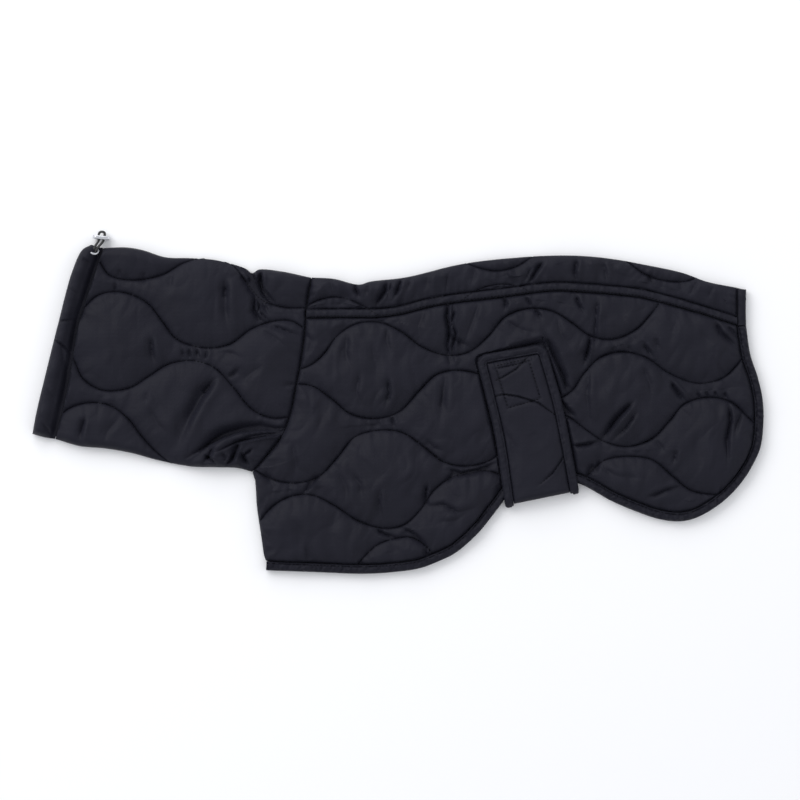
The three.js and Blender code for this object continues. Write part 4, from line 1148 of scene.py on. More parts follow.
@dataclass(frozen=True)
class WovenNylon:
    """Nylon taffeta, plain woven from fine filament yarn and lightly calendered.

    The flat filaments give the eye a soft, low sheen that runs along the puffs, over a deep
    blue-black that hardly scatters light.
    """

    name: str = "woven_nylon"
    colour: str = "#15151e"
    light: str = "#1c1c26"
    thread_mm: float = 3.8956  # real yarns lie 0.2 mm apart, too fine to show, so these are coarser
    roughness: float = 0.6
    gleam: float = 0.15  # the yarns' gaps swallow most of the mirror light
    sheen: float = 0.03
    weave_depth: float = 0.1
    crinkle_mm: float = 0.8  # how deep the calendered film crinkles, in waves about 4 mm long

    def material(self) -> bpy.types.Material:
        """Builds the material: two crossed wave textures weave it, and noise crinkles it.

        Returns:
            The material.
        """
        material, shader = new_material(self.name, {
            "Roughness": self.roughness, "IOR": 1.5, "Specular IOR Level": self.gleam,
            "Sheen Weight": self.sheen, "Sheen Roughness": 0.4, "Sheen Tint": linear("#c9cede"),
        })
        tree = material.node_tree
        place = {"Vector": add_node(tree, "ShaderNodeTexCoord").outputs["Object"]}
        bands = [
            add_node(
                tree, "ShaderNodeTexWave",
                {"bands_direction": direction, "Scale": WAVE_MM / self.thread_mm, "Distortion": 0.5,
                 "Detail": 1.0, "Detail Scale": 2.0},
                place,
            )
            for direction in ("X", "Y")
        ]
        weave = add_node(
            tree, "ShaderNodeMath", {"operation": "MULTIPLY"},
            {0: bands[0].outputs["Fac"], 1: bands[1].outputs["Fac"]},
        )
        crinkle = add_node(
            tree, "ShaderNodeTexNoise", {"Scale": 260.0, "Detail": 4.0, "Roughness": 0.55}, place)
        cloud = add_node(tree, "ShaderNodeTexNoise", {"Scale": 24.0, "Detail": 3.0}, place)
        tone = add_node(
            tree, "ShaderNodeMix", {"data_type": "RGBA", 6: linear(self.colour), 7: linear(self.light)},
            {0: cloud.outputs["Fac"]},
        )
        tree.links.new(tone.outputs[2], shader.inputs["Base Color"])
        gloss = add_node(
            tree, "ShaderNodeMapRange", {"To Min": self.roughness - 0.06, "To Max": self.roughness + 0.1},
            {"Value": cloud.outputs["Fac"]},
        )
        tree.links.new(gloss.outputs["Result"], shader.inputs["Roughness"])
        soft = add_node(
            tree, "ShaderNodeBump", {"Strength": 0.35, "Distance": self.crinkle_mm * MM},
            {"Height": crinkle.outputs["Fac"]},
        )
        threads = add_node(
            tree, "ShaderNodeBump", {"Strength": 0.5, "Distance": self.weave_depth * MM},
            {"Height": weave.outputs[0], "Normal": soft.outputs["Normal"]},
        )
        tree.links.new(threads.outputs["Normal"], shader.inputs["Normal"])
        return material


@dataclass(frozen=True)
class WovenTape(WovenNylon):
    """Bias tape cut from the same nylon, folded double, its tones a little flatter and darker: painted
    shade against the light that its raised roll catches.
    """

    name: str = "folded_nylon_tape"
    # painted shade: the nylon's lighter tone set darker, to offset the light on the raised tape
    light: str = "#1a1a24"


@dataclass(frozen=True)
class Polyester:
    """Twisted polyester sewing thread: its own matt black, deepened below the nylon's as painted shade
    along the stitched grooves.
    """

    name: str = "polyester_thread"
    # black thread, partly painted shade: set darker than the cloth so the stitched lines read as shaded
    # grooves
    colour: str = "#08080a"
    roughness: float = 0.75
    gleam: float = 0.1  # twisted fibres scatter what they mirror
    grain_mm: float = 3.1416  # the real twist repeats in 0.5 mm, too fine to show, so this is coarser
    depth_mm: float = 0.12

    def material(self) -> bpy.types.Material:
        """Builds the material, with a slanting wave for the twist.

        Returns:
            The material.
        """
        material, shader = new_material(self.name, {
            "Base Color": linear(self.colour), "Roughness": self.roughness, "IOR": 1.55,
            "Specular IOR Level": self.gleam,
        })
        tree = material.node_tree
        twist = add_node(
            tree, "ShaderNodeTexWave",
            {"bands_direction": "DIAGONAL", "Scale": WAVE_MM / self.grain_mm, "Distortion": 1.5},
            {"Vector": add_node(tree, "ShaderNodeTexCoord").outputs["Object"]},
        )
        bump = add_node(
            tree, "ShaderNodeBump", {"Strength": 0.7, "Distance": self.depth_mm * MM},
            {"Height": twist.outputs["Fac"]},
        )
        tree.links.new(bump.outputs["Normal"], shader.inputs["Normal"])
        return material


@dataclass(frozen=True)
class BraidedCord(Polyester):
    """Braided polyester cover on the drawcord: coarser than the thread, and deeper black."""

    name: str = "braided_cord"
    colour: str = "#060607"
    gleam: float = 0.9
    grain_mm: float = 1.5708


@dataclass(frozen=True)
class PlatedZinc:
    """Die-cast zinc with bright nickel plating, tumbled smooth: a mirror with soft waves."""

    name: str = "plated_zinc"
    colour: str = "#d3d4d8"
    roughness: float = 0.16
    wear: float = 0.16

    def material(self) -> bpy.types.Material:
        """Builds the material, with noise for the wear of its mirror.

        Returns:
            The material.
        """
        material, shader = new_material(self.name, {"Base Color": linear(self.colour), "Metallic": 1.0})
        tree = material.node_tree
        wear = add_node(
            tree, "ShaderNodeTexNoise", {"Scale": 900.0, "Detail": 3.0},
            {"Vector": add_node(tree, "ShaderNodeTexCoord").outputs["Object"]},
        )
        gloss = add_node(
            tree, "ShaderNodeMapRange", {"To Min": self.roughness, "To Max": self.roughness + self.wear},
            {"Value": wear.outputs["Fac"]},
        )
        tree.links.new(gloss.outputs["Result"], shader.inputs["Roughness"])
        return material


class Finishes:
    """The coat's materials, each made once."""

    def __init__(self) -> None:
        """Makes the materials."""
        self.made = {
            Slot.SHELL: WovenNylon().material(),
            Slot.TAPE: WovenTape().material(),
            Slot.CORD: BraidedCord().material(),
            Slot.METAL: PlatedZinc().material(),
        }
        self.thread = Polyester().material()

    def dress(self, piece: bpy.types.Object, slot: Slot, *nodes: str,
              material: bpy.types.Material | None = None) -> bpy.types.Object:
        """Gives a piece its slot's material or another one, puts it on its body and hides the solids that
        it replaces.

        Args:
            piece: the piece.
            slot: the record's slot for it.
            nodes: the solids that it replaces.
            material: another material than the slot's own.

        Returns:
            The piece.
        """
        piece.data.materials.clear()
        piece.data.materials.append(material or self.made[slot])
        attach(piece, "root")
        if nodes:
            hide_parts(*nodes)
        log.info("%s, %s", piece.name, slot.value)
        return piece


# The cut pieces


def crowded(count: int) -> Array:
    """Shares from 0 to 1 in this many steps, which are shorter near both ends."""
    t = np.linspace(0, 1, count + 1)
    return t + 0.32 * ((1 - np.cos(np.pi * t)) / 2 - t)


@dataclass
class FoldedPiece:
    """A piece of quilted cloth that is folded flat, so that it has a near and a far half."""

    name: str
    patch: Patch
    length: float
    lines: list[StitchLine]
    far_lines: list[StitchLine]
    creases: list[Crease]
    padding: Padding
    upper_fold: bool = True
    lower_fold: bool = True
    columns: int = 160
    near_rows: int = 140
    far_rows: int = 80
    every: int = 4
    step: float = 1.05
    steep_start: float = 1.0
    skin: Array = field(default_factory=lambda: np.zeros((2, 2, 3)))

    def edges(self, u: Array, v: Array) -> dict[str, Array]:
        """Measures how points lie to the edges.

        Args:
            u: shares along the piece.
            v: shares across it.

        Returns:
            Distances to the edges, and the places along them, in mm.
        """
        depth = self.patch.depth(u)
        return {
            "above": v * depth + (FOLD_ALLOWANCE if self.upper_fold else 0),
            "below": (1 - v) * depth + (FOLD_ALLOWANCE if self.lower_fold else 0),
            "side": np.minimum(u * self.steep_start, 1 - u) * self.length,
            "along": u * self.length,
            "down": v * depth,
        }

    def fold_distance(self, u: Array, v: Array) -> Array:
        """Measures how far points lie from the nearest folded edge.

        Args:
            u: shares along the piece.
            v: shares across it.

        Returns:
            The distances, in mm.
        """
        depth = self.patch.depth(u)
        upper = v * depth if self.upper_fold else np.full_like(depth, np.inf)
        lower = (1 - v) * depth if self.lower_fold else np.full_like(depth, np.inf)
        return np.minimum(upper, lower)

    def quilted(self, xy: Array, edges: dict[str, Array]) -> Array:
        """Works out the height of the padded and creased skin.

        Args:
            xy: plan points.
            edges: their distances to the edges.

        Returns:
            The heights, in mm.
        """
        cell = cell_of(xy, edges, self.lines)
        z = STITCHED_TOP + self.padding.height(xy, cell) - crease_depth(xy, self.creases)
        return np.maximum(z, LOWEST_TOP)

    def near_height(self, xy: Array, u: Array, v: Array) -> Array:
        """The height of the near skin before it turns over the folds."""
        return self.quilted(xy, self.edges(u, v))

    def far_height(self, xy: Array, u: Array, v: Array) -> Array:
        """The height of the far skin, which is pressed flat with its stitched lines drawn up."""
        return DRAWN_UP * bell(from_lines(xy, self.far_lines), 1.7) + under_fold(self.fold_distance(u, v))

    def section(self) -> tuple[Array, Array]:
        """Sets out the rows round the piece.

        Returns:
            The v of each row, and whether it lies in the far half.
        """
        near, far = crowded(self.near_rows), crowded(self.far_rows)
        if self.lower_fold:
            far = far[::-1][1:-1]
        else:
            near, far = near[::-1], far[1:]
        return np.concatenate([near, far]), np.arange(len(near) + len(far)) >= len(near)

    def build(self) -> bpy.types.Object:
        """Makes the closed wall of the piece.

        Returns:
            The piece.
        """
        rows, is_far = self.section()
        u, v = np.broadcast_arrays(np.linspace(0, 1, self.columns + 1)[:, None], rows[None, :])
        xy = self.patch.at(u, v)
        if self.lines:
            xy[2:-2, ~is_far] = snapped(xy[2:-2, ~is_far], self.lines, self.step)
        near = rounded_at_fold(self.near_height(xy, u, v), self.fold_distance(u, v))
        outer = np.dstack([xy, np.where(is_far, self.far_height(xy, u, v), near)])
        self.skin = outer[:, ~is_far]
        return shell(self.name, outer, self.inside(u, v, is_far), self.upper_fold and self.lower_fold)

    def inside(self, u: Array, v: Array, is_far: Array) -> Array:
        """Sets out the plain inner skins, a coarser grid kept off the folds.

        Args:
            u: shares along the piece.
            v: shares across it.
            is_far: whether each row lies in the far half.

        Returns:
            The inner grid, in mm.
        """
        rows = slice(None, None, self.every)
        u, v, is_far = u[rows, rows], v[rows, rows], is_far[rows]
        depth = self.patch.depth(u)
        first = FOLD_UNDER / depth if self.upper_fold else 0
        last = FOLD_UNDER / depth if self.lower_fold else 0
        xy = self.patch.at(u, first + v * (1 - first - last))
        return np.dstack([xy, np.where(is_far, FAR_WALL, NEAR_INSIDE) + np.zeros_like(depth)])


def neck_seam() -> Curve:
    """The seam between the neck tube and the body."""
    return Curve(NECK_SEAM)


def neck_tube() -> FoldedPiece:
    """The neck tube, one quilted piece seamed into a ring.

    Returns:
        The piece.
    """
    inner_seam = [(x + 2 * SEAM_GAP, y) for x, y in CASING_SEAM[1:-1]]
    start = Curve([NECK_TOP[0], *inner_seam, NECK_BOTTOM[0]])
    return FoldedPiece(
        "neck_tube_cloth", Patch(Curve(NECK_TOP), Curve(NECK_BOTTOM), start, neck_seam()), 190.0,
        [StitchLine(rows) for rows in NECK_LINES],
        [StitchLine(rows, FAR_SIDE_SHIFT) for rows in NECK_LINES],
        NECK_CREASES, Padding(drape=1.4, crinkle=1.0, seed=11),
        columns=176, near_rows=160, far_rows=92, steep_start=5.0,
    )


class SpinePanel(FoldedPiece):
    """The panel folded over the back, with a raised band between its two seam stitch lines."""

    def near_height(self, xy: Array, u: Array, v: Array) -> Array:
        """Works out the quilted strip beside the fold, and the band along the seam.

        Args:
            xy: plan points.
            u: shares along the panel.
            v: shares across it.

        Returns:
            The heights, in mm.
        """
        from_seam = (1 - v) * self.patch.depth(u)
        edges = self.edges(u, v)
        edges["below"] = np.maximum(from_seam - BAND_WIDTH, 0)
        across = np.clip(from_seam / BAND_WIDTH, 0, 1)
        roll = np.sqrt(1 - (2 * across - 1) ** 2)
        run = u * self.length
        pleats = 1.1 * Noise(5).at(run / 3.4, across * 0.8) + Noise(6).at(run / 11, across * 0.4)
        band = STITCHED_TOP + (BAND_TOP - STITCHED_TOP + pleats) * roll
        return np.where(from_seam < BAND_WIDTH, band, self.quilted(xy, edges))


def spine_panel() -> SpinePanel:
    """The spine panel, from the neck seam to the tail hem.

    Returns:
        The panel.
    """
    upper = Curve(SPINE_FOLD)
    lower = Curve(SPINE_SEAM).shifted(0, SEAM_GAP / 2)
    start = Curve([SPINE_FOLD[0], SPINE_CORNER, tuple(lower.at(0.0))])
    end = bowed(tuple(upper.at(1.0)), tuple(lower.at(1.0)), -EDGE_BOW)
    return SpinePanel(
        "spine_panel_cloth", Patch(upper, lower, start, end), 386.0,
        [StitchLine(rows) for rows in SPINE_LINES],
        [StitchLine(rows, FAR_SIDE_SHIFT) for rows in SPINE_LINES],
        SPINE_CREASES, Padding(loft=8.5, reach=16, pucker=2.6, drape=3.4, crinkle=1.8, seed=31),
        lower_fold=False, columns=320, near_rows=44, far_rows=24,
    )


class NeckCasing(FoldedPiece):
    """The drawcord's casing: a soft roll with small gathers across it."""

    LOFT = 10.0
    FULL_FROM = 26.0
    AT_FOLD = 0.62

    def near_height(self, xy: Array, u: Array, v: Array) -> Array:
        """Works out a roll that rises from the rim, leans over and drops at the seam.

        Args:
            xy: plan points.
            u: shares from the rim to the seam.
            v: shares along the casing.

        Returns:
            The heights, in mm.
        """
        run = v * self.patch.depth(u)
        lean = 0.55 * smooth_step((u - 0.38) / 0.46)
        drop = 0.45 * smooth_step((u - 0.7) / 0.22)
        roll = 1.2 * quarter_round(u / 0.34) * (1 - lean - drop)
        roll = roll * (self.AT_FOLD + (1 - self.AT_FOLD) * np.clip(run / self.FULL_FROM, 0, 1))
        sway = Noise(7).at(run / 30, u * 2) * 3
        gathers = Noise(8).at((run + sway) / 7.5, u * 1.2) * 0.8 + Noise(9).at(run / 19, u * 0.8) * 1.3
        base = FOLD_HEIGHT - 0.6 * u
        return base + (self.LOFT + gathers) * roll - crease_depth(xy, self.creases)

    def far_height(self, xy: Array, u: Array, v: Array) -> Array:
        """The far half, flat with its seam's edge drawn up a little."""
        return under_fold(self.fold_distance(u, v)) + 1.2 * bell(u * self.length, 2.0)


def neck_casing() -> NeckCasing:
    """The casing folded over at the neck's end.

    Returns:
        The casing.
    """
    upper = bowed(CASING_RIM[0], CASING_SEAM[0], -EDGE_BOW)
    lower = Curve([CASING_RIM[-1], CASING_CORNER, CASING_SEAM[-1]])
    return NeckCasing(
        "neck_casing_cloth", Patch(upper, lower, Curve(CASING_RIM), Curve(CASING_SEAM)), 20.0,
        [], [], CASING_CREASES, Padding(), columns=24, near_rows=176, far_rows=100,
    )


class TailHem(FoldedPiece):
    """The tape that binds the end of the spine panel."""

    BASE = 5.0
    LOFT = 3.5
    TALL = 33.0

    def near_height(self, xy: Array, u: Array, v: Array) -> Array:
        """Works out a flat roll with a stitched line near its inner edge.

        Args:
            xy: plan points, not used.
            u: shares across the tape.
            v: shares along it.

        Returns:
            The heights, in mm.
        """
        roll = np.sqrt(1 - np.abs(2 * u - 1) ** 3)
        ripple = 0.35 * Noise(15).at(v * self.TALL / 4.4, u * 1.5)
        return self.BASE + (self.LOFT + ripple) * roll - 0.7 * bell(u - 0.2, 0.09)

    def far_height(self, xy: Array, u: Array, v: Array) -> Array:
        """The far half, flat."""
        return under_fold(self.fold_distance(u, v))


def tail_hem() -> TailHem:
    """The hem at the tail end of the spine panel.

    Returns:
        The hem.
    """
    patch = Patch(
        bowed(TAIL_INNER[0], TAIL_EDGE[0], -EDGE_BOW), bowed(TAIL_INNER[1], TAIL_EDGE[1], EDGE_BOW),
        bowed(TAIL_INNER[0], TAIL_INNER[1], EDGE_BOW), bowed(TAIL_EDGE[0], TAIL_EDGE[1], -EDGE_BOW),
    )
    return TailHem(
        "tail_hem_tape", patch, 8.0, [], [], [], Padding(),
        lower_fold=False, columns=12, near_rows=36, far_rows=24,
    )


def side_patch() -> Patch:
    """The region of each side panel, inside its seams and its hem binding.

    Returns:
        The patch.
    """
    inner = Curve(HEM).inwards(BINDING_WIDTH + SEAM_GAP)
    tail_corner = (float(inner.at(1.0)[0]), TAIL_SEAM_END)
    upper = Curve([*SPINE_SEAM[:-1], tail_corner]).shifted(0, -SEAM_GAP)
    along_neck = neck_seam().shifted(2 * SEAM_GAP).stretch(0.21, 1.0).at(np.linspace(0, 1, 21))
    start = Curve([upper.at(0.0), *along_neck, *np.array(CHEST_FRONT), inner.at(0.0)])
    rear = inner.stretch(1 - 0.012, HEM_TURN).at(np.linspace(0, 1, 25))
    return Patch(upper, inner.stretch(0.0, HEM_TURN), start, Curve([upper.at(1.0), *rear]))


@dataclass(frozen=True)
class StrapPress:
    """Where the fastened belly strap presses the near side down, in mm."""

    top: Point = (100.6, 53.5)
    way: Point = (28.8, -133.3)
    margin: float = 0.9
    height: float = 8.45
    corner: float = 5.0
    slopes: tuple[float, float] = (1.7, 1.2)
    gully: float = 2.2
    gully_at: float = 0.4
    gully_width: float = 1.3

    def ceiling(self, xy: Array) -> Array:
        """Finds the greatest height that the near side may have.

        Args:
            xy: plan points.

        Returns:
            The heights: level below the strap, with a gully beside it, and rising from there.
        """
        above = -((xy - np.array(self.top)) @ unit(np.array(self.way)))
        left, right = -StitchLine(STRAP_LEFT).measure(xy)[0], StitchLine(STRAP_RIGHT).measure(xy)[0]
        beside, beyond = np.maximum(left, right) + self.corner, above + self.corner
        outside = np.hypot(np.clip(beside, 0, None), np.clip(beyond, 0, None))
        outside = outside + np.minimum(np.maximum(beside, beyond), 0) - self.corner
        slope = np.where(left > right, self.slopes[0], self.slopes[1])
        gully = self.gully * bell(outside - self.gully_at, self.gully_width)
        return self.height + slope * np.clip(outside - self.margin, 0, None) - gully


@dataclass
class SidePanel:
    """A side of the coat: the quilted near one, or the far one pressed flat below it."""

    name: str
    layer: Layer
    lines: list[StitchLine]
    padding: Padding = field(default_factory=lambda: Padding(drape=2.8, crinkle=1.5, seed=21))
    length: float = 410.0
    columns: int = 396
    rows: int = 204
    every: int = 4
    step: float = 1.0
    blend: float = 1.6
    skin: Array = field(default_factory=lambda: np.zeros((2, 2, 3)))

    def build(self, patch: Patch) -> bpy.types.Object:
        """Makes the closed wall of the panel.

        Args:
            patch: its region in plan.

        Returns:
            The panel.
        """
        u = np.linspace(0, 1, self.columns + 1)[:, None]
        v = np.linspace(0, 1, self.rows + 1)[None, :]
        u, v = np.broadcast_arrays(u, v)
        xy = patch.at(u, v)
        if self.layer is Layer.NEAR:
            xy[1:-1, 1:-1] = snapped(xy[1:-1, 1:-1], self.lines, self.step)
            z, plain = self.near(patch, xy, u, v), NEAR_INSIDE
        else:
            z, plain = self.far(xy), FAR_WALL
        self.skin = np.dstack([xy, z])
        inner = self.skin[::self.every, ::self.every].copy()
        inner[..., 2] = plain
        return shell(self.name, self.skin, inner, False)

    def near(self, patch: Patch, xy: Array, u: Array, v: Array) -> Array:
        """Works out the height of the quilted skin, pressed down by the strap.

        Args:
            patch: the panel's region.
            xy: plan points.
            u: shares along the panel.
            v: shares across it.

        Returns:
            The heights, in mm.
        """
        depth = patch.depth(u)
        edges = {
            "above": v * depth,
            "below": (1 - v) * depth,
            "side": np.minimum(u, 1 - u) * self.length,
            "along": u * self.length,
            "down": v * depth,
        }
        z = STITCHED_TOP + self.padding.height(xy, cell_of(xy, edges, self.lines))
        ceiling = StrapPress().ceiling(xy)
        soft = 0.25 * self.blend * np.exp(-np.abs(z - ceiling) / self.blend)
        return np.maximum(np.minimum(z, ceiling) - soft - crease_depth(xy, BODY_CREASES), LOWEST_TOP)

    def far(self, xy: Array) -> Array:
        """The height of the flat underside, with its stitched lines drawn up."""
        return DRAWN_UP * bell(from_lines(xy, self.lines), 1.8)


@dataclass(frozen=True)
class Tape:
    """Folded tape swept along an edge. Widths and heights are in mm."""

    width: float = BINDING_WIDTH
    low: float = NEAR_INSIDE
    high: float = BINDING_TOP
    stitched_at: float = STITCHED_AT
    ripple: float = 1.5
    seed: int = 41
    points: int = 14

    # Shares of the tape's height: its outer and inner edges, and how deep its stitches pull
    OUTER_EDGE = 0.15
    INNER_EDGE = 0.3
    STITCH_PULL = 0.22

    def section(self, run: Array) -> tuple[Array, Array]:
        """Sets out the tape's section: the top from outside to inside, then the base.

        Args:
            run: the distance along the tape of each ring.

        Returns:
            Offsets across and up, a row for each ring.
        """
        s = np.cos(np.linspace(0, np.pi, self.points))
        rise = np.sqrt(1 - np.abs(s) ** 3)
        edge = np.where(s > 0, self.OUTER_EDGE, self.INNER_EDGE)
        noise = Noise(self.seed)
        fine = noise.at(run[:, None] / 2.7 + s * 0.5, s * 1.3 + 5)
        slow = noise.at(run[:, None] / 11, s * 0.7 + 9)
        body = self.high - self.low
        stitched = self.STITCH_PULL * bell(s - self.stitched_at, 0.13)
        top = body * (edge + (1 - edge) * rise - stitched) + self.ripple * (fine + 0.8 * slow) * rise
        across = np.broadcast_to(np.concatenate([s, [-0.96, 0.96]]), (len(run), self.points + 2))
        return across * self.width / 2, np.hstack([top, np.zeros((len(run), 2))])

    def sweep(self, name: str, centre: Array, side: Array, up: Array) -> tuple[bpy.types.Object, Array]:
        """Sweeps the section.

        Args:
            name: the piece's name.
            centre: the middle of the tape's base along its path.
            side: unit vectors across the tape, to its outside.
            up: unit vectors out of the cloth.

        Returns:
            The piece, and the grid of its top.
        """
        across, rise = self.section(runs(centre))
        rings = (
            centre[:, None, :] + across[..., None] * side[:, None, :] + rise[..., None] * up[:, None, :]
        )
        rings[..., 2] = np.maximum(rings[..., 2], 0.0)
        return bar(name, rings), rings[:, :self.points]


def allowance(name: str, seam: Array, width: float = 5.0) -> bpy.types.Object:
    """A turned seam allowance, a thin strip between the coat's two layers.

    Args:
        name: the strip's name.
        seam: plan points along the seam, in mm.
        width: the strip's width in mm.

    Returns:
        The strip.
    """
    clear = 0.05
    along = unit(np.gradient(seam, axis=0))
    side = np.column_stack([-along[:, 1], along[:, 0]]) * width / 2
    low, high = FAR_WALL + clear, NEAR_INSIDE - clear
    rings = [
        np.column_stack([seam + way * side, np.full(len(seam), z)])
        for way, z in ((1, low), (-1, low), (-1, high), (1, high))
    ]
    return bar(name, np.stack(rings, axis=1))


def hem_path(step: float) -> tuple[Array, Array, Array]:
    """The way of the hem bindings.

    Args:
        step: the distance between its points, in mm.

    Returns:
        Their middle in plan, with its outward and upward vectors.
    """
    hem = Curve(HEM)
    t = np.linspace(0, 1, int(hem.length / step) + 1)
    side = -hem.side_of(t)
    centre = hem.at(t) - side * BINDING_WIDTH / 2
    flat = np.zeros((len(t), 1))
    return np.hstack([centre, flat]), np.hstack([side, flat]), np.tile([0.0, 0.0, 1.0], (len(t), 1))


# Belly strap


def box_sides(each: int) -> list[Array]:
    """The four straight stitched lines round the strap's hook patch, with this many points each."""
    corners = np.array([*HOOK_BOX, HOOK_BOX[0]])
    return [np.linspace(corners[k], corners[k + 1], each) for k in range(4)]


@dataclass
class BellyStrap:
    """The strap from the far hem, turned up below the near hem and fastened on the near side."""

    length: float = 137.0
    width: float = 68.0
    inside: float = 8.9
    wall: float = 2.4
    turn: float = 6.0
    border: float = 8.0
    columns: int = 64
    rows: int = 120
    bend_rows: int = 15
    leg_rows: int = 13
    skin: Array = field(default_factory=lambda: np.zeros((2, 2, 3)))

    def __post_init__(self) -> None:
        """Reads the strap's two edges and the hem below it."""
        self.left = Curve(STRAP_LEFT)
        self.right = Curve(STRAP_RIGHT)
        self.hem = Curve(HEM)

    def place(self, across: Array, along: Array) -> Array:
        """Finds plan points on the strap.

        Args:
            across: shares across it.
            along: distances along it.

        Returns:
            The points.
        """
        t = np.clip(along / self.length, 0, 1)
        left, right = self.left.at(t), self.right.at(t)
        return left + (right - left) * across[..., None]

    def hem_distance(self, across: Array) -> Array:
        """Finds where the strap meets the hem's outline.

        Args:
            across: shares across the strap, one for each column.

        Returns:
            The distance along the strap, for each column.
        """
        probe = np.linspace(60.0, self.length, 400)
        points = self.place(across[:, None], np.broadcast_to(probe, (len(across), len(probe))))
        hem = self.hem.at(np.linspace(0.3, 0.7, 900))
        order = np.argsort(hem[:, 0])
        below = points[..., 1] < np.interp(points[..., 0], hem[order, 0], hem[order, 1])
        return np.where(below.any(axis=1), probe[np.argmax(below, axis=1)], self.length)

    def profile(self, across: Array) -> tuple[Array, Array, Array, Array]:
        """Sets out the strap's way round its turn.

        Args:
            across: shares across the strap, one for each column.

        Returns:
            Distances along and heights of the outside, then the same of the inside.
        """
        hem = self.hem_distance(across)
        turn = np.clip(self.length - hem - 0.6, 2.2, self.turn)
        bend_at = (self.length - turn)[:, None]
        end_at = np.minimum(bend_at - 0.4, hem[:, None] + 0.5)
        near = np.linspace(0, 1, self.rows + 1) * bend_at
        angles = np.linspace(0, np.pi, self.bend_rows + 2)[1:-1]
        far = bend_at + (end_at - bend_at) * np.linspace(0, 1, self.leg_rows)
        inner_turn = np.clip(turn - 2.5, 0.5, None)
        outside = np.hstack([near, bend_at + turn[:, None] * np.sin(angles), far])
        inside = np.hstack([near, bend_at + inner_turn[:, None] * np.sin(angles), far])
        heights = []
        for top, bottom in ((self.inside + self.wall, 0.0), (self.inside, FAR_WALL)):
            middle, half = (top + bottom) / 2, (top - bottom) / 2
            column = np.concatenate([
                np.full(self.rows + 1, top), middle + half * np.cos(angles), np.full(self.leg_rows, bottom),
            ])
            heights.append(np.tile(column, (len(across), 1)))
        return outside, heights[0], inside, heights[1]

    def relief(self, xy: Array, across: Array, along: Array) -> Array:
        """Works out the padding of the strap above its plain wall.

        Args:
            xy: plan points.
            across: shares across the strap.
            along: distances along it.

        Returns:
            The heights, in mm.
        """
        edge = np.minimum(np.minimum(across, 1 - across) * self.width, along) - self.border
        edge = np.clip(edge, 0, None)
        pillow = 3.4 * (1 - np.exp(-edge / 5.5)) - 1.9 * np.exp(-edge / 0.9)
        box = np.vstack([side[:-1] for side in box_sides(25)])
        from_box = np.min(np.linalg.norm(xy[..., None, :] - box, axis=-1), axis=-1)
        puckers = 0.9 * Noise(52).at(xy[..., 0] / 6, xy[..., 1] / 9) * np.exp(-edge / 8)
        soft = 0.8 * Noise(53).at(xy[..., 0] / 17, along / 21)
        above_box = (xy - np.array(HOOK_BOX[0])) @ np.array(BOX_UP)
        ribs = 1.3 * Noise(54).at(across * self.width / 1.9, along / 12) * (np.abs(above_box - 4) < 4)
        puffed = (puckers + soft + ribs) * (1 - np.exp(-edge / 2))
        return pillow - 2.4 * np.exp(-from_box / 0.8) + puffed - crease_depth(xy, STRAP_QUILTING)

    def build(self) -> bpy.types.Object:
        """Makes the quilted strap inside its binding.

        Returns:
            The piece.
        """
        start = self.border + SEAM_GAP
        margin = start / self.width
        across = np.linspace(margin, 1 - margin, self.columns + 1)
        outside, heights, inside, inner = self.profile(across)
        scale = (self.length - start) / self.length
        outside, inside = start + outside * scale, start + inside * scale
        grid = np.broadcast_to(across[:, None], outside.shape)
        xy = self.place(grid, outside)
        count = self.rows + 1
        relief = np.zeros_like(heights)
        relief[:, :count] = self.relief(xy[:, :count], grid[:, :count], outside[:, :count])
        shoulder = np.linspace(1, 0, outside.shape[1] - count) ** 1.5
        relief[:, count:] = relief[:, count - 1:count] * shoulder
        outer = np.dstack([xy, np.maximum(heights + relief, 0)])
        self.skin = outer[:, :count]
        within = np.dstack([self.place(grid, inside), inner])
        return shell("belly_strap_cloth", outer, within, False)

    def edge_path(self, step: float = 1.3) -> tuple[Array, Array, Array]:
        """The binding's way: up the left edge from the far hem, round the top and down the right.

        Args:
            step: the distance between its points, in mm.

        Returns:
            The path, with its outward and upward vectors.
        """
        half = self.border / 2
        sides = []
        for share in (half / self.width, 1 - half / self.width):
            outside, heights, _, _ = self.profile(np.array([share]))
            along, z = outside[0], heights[0] - self.wall / 2
            xy = self.place(np.full(len(along), share), along)
            side = np.column_stack([xy, np.maximum(z, self.wall / 2)])
            side = side[int(np.argmax(runs(side) >= half + 3.0)):]
            run = runs(side)
            at = np.linspace(0, run[-1], int(run[-1] / step) + 1)
            sides.append(np.stack([np.interp(at, run, side[:, k]) for k in range(3)], axis=-1))
        left, right = sides
        top = self.place(np.linspace(0, 1, 41), np.full(41, half))[5:36]
        bridge = Curve([left[0, :2], *top, right[0, :2]])
        t = np.linspace(0, 1, int(bridge.length / step) + 1)
        over = np.column_stack([bridge.at(t), np.full(len(t), left[0, 2])])
        return self._frames(np.vstack([left[::-1][:-1], over, right[1:]]))

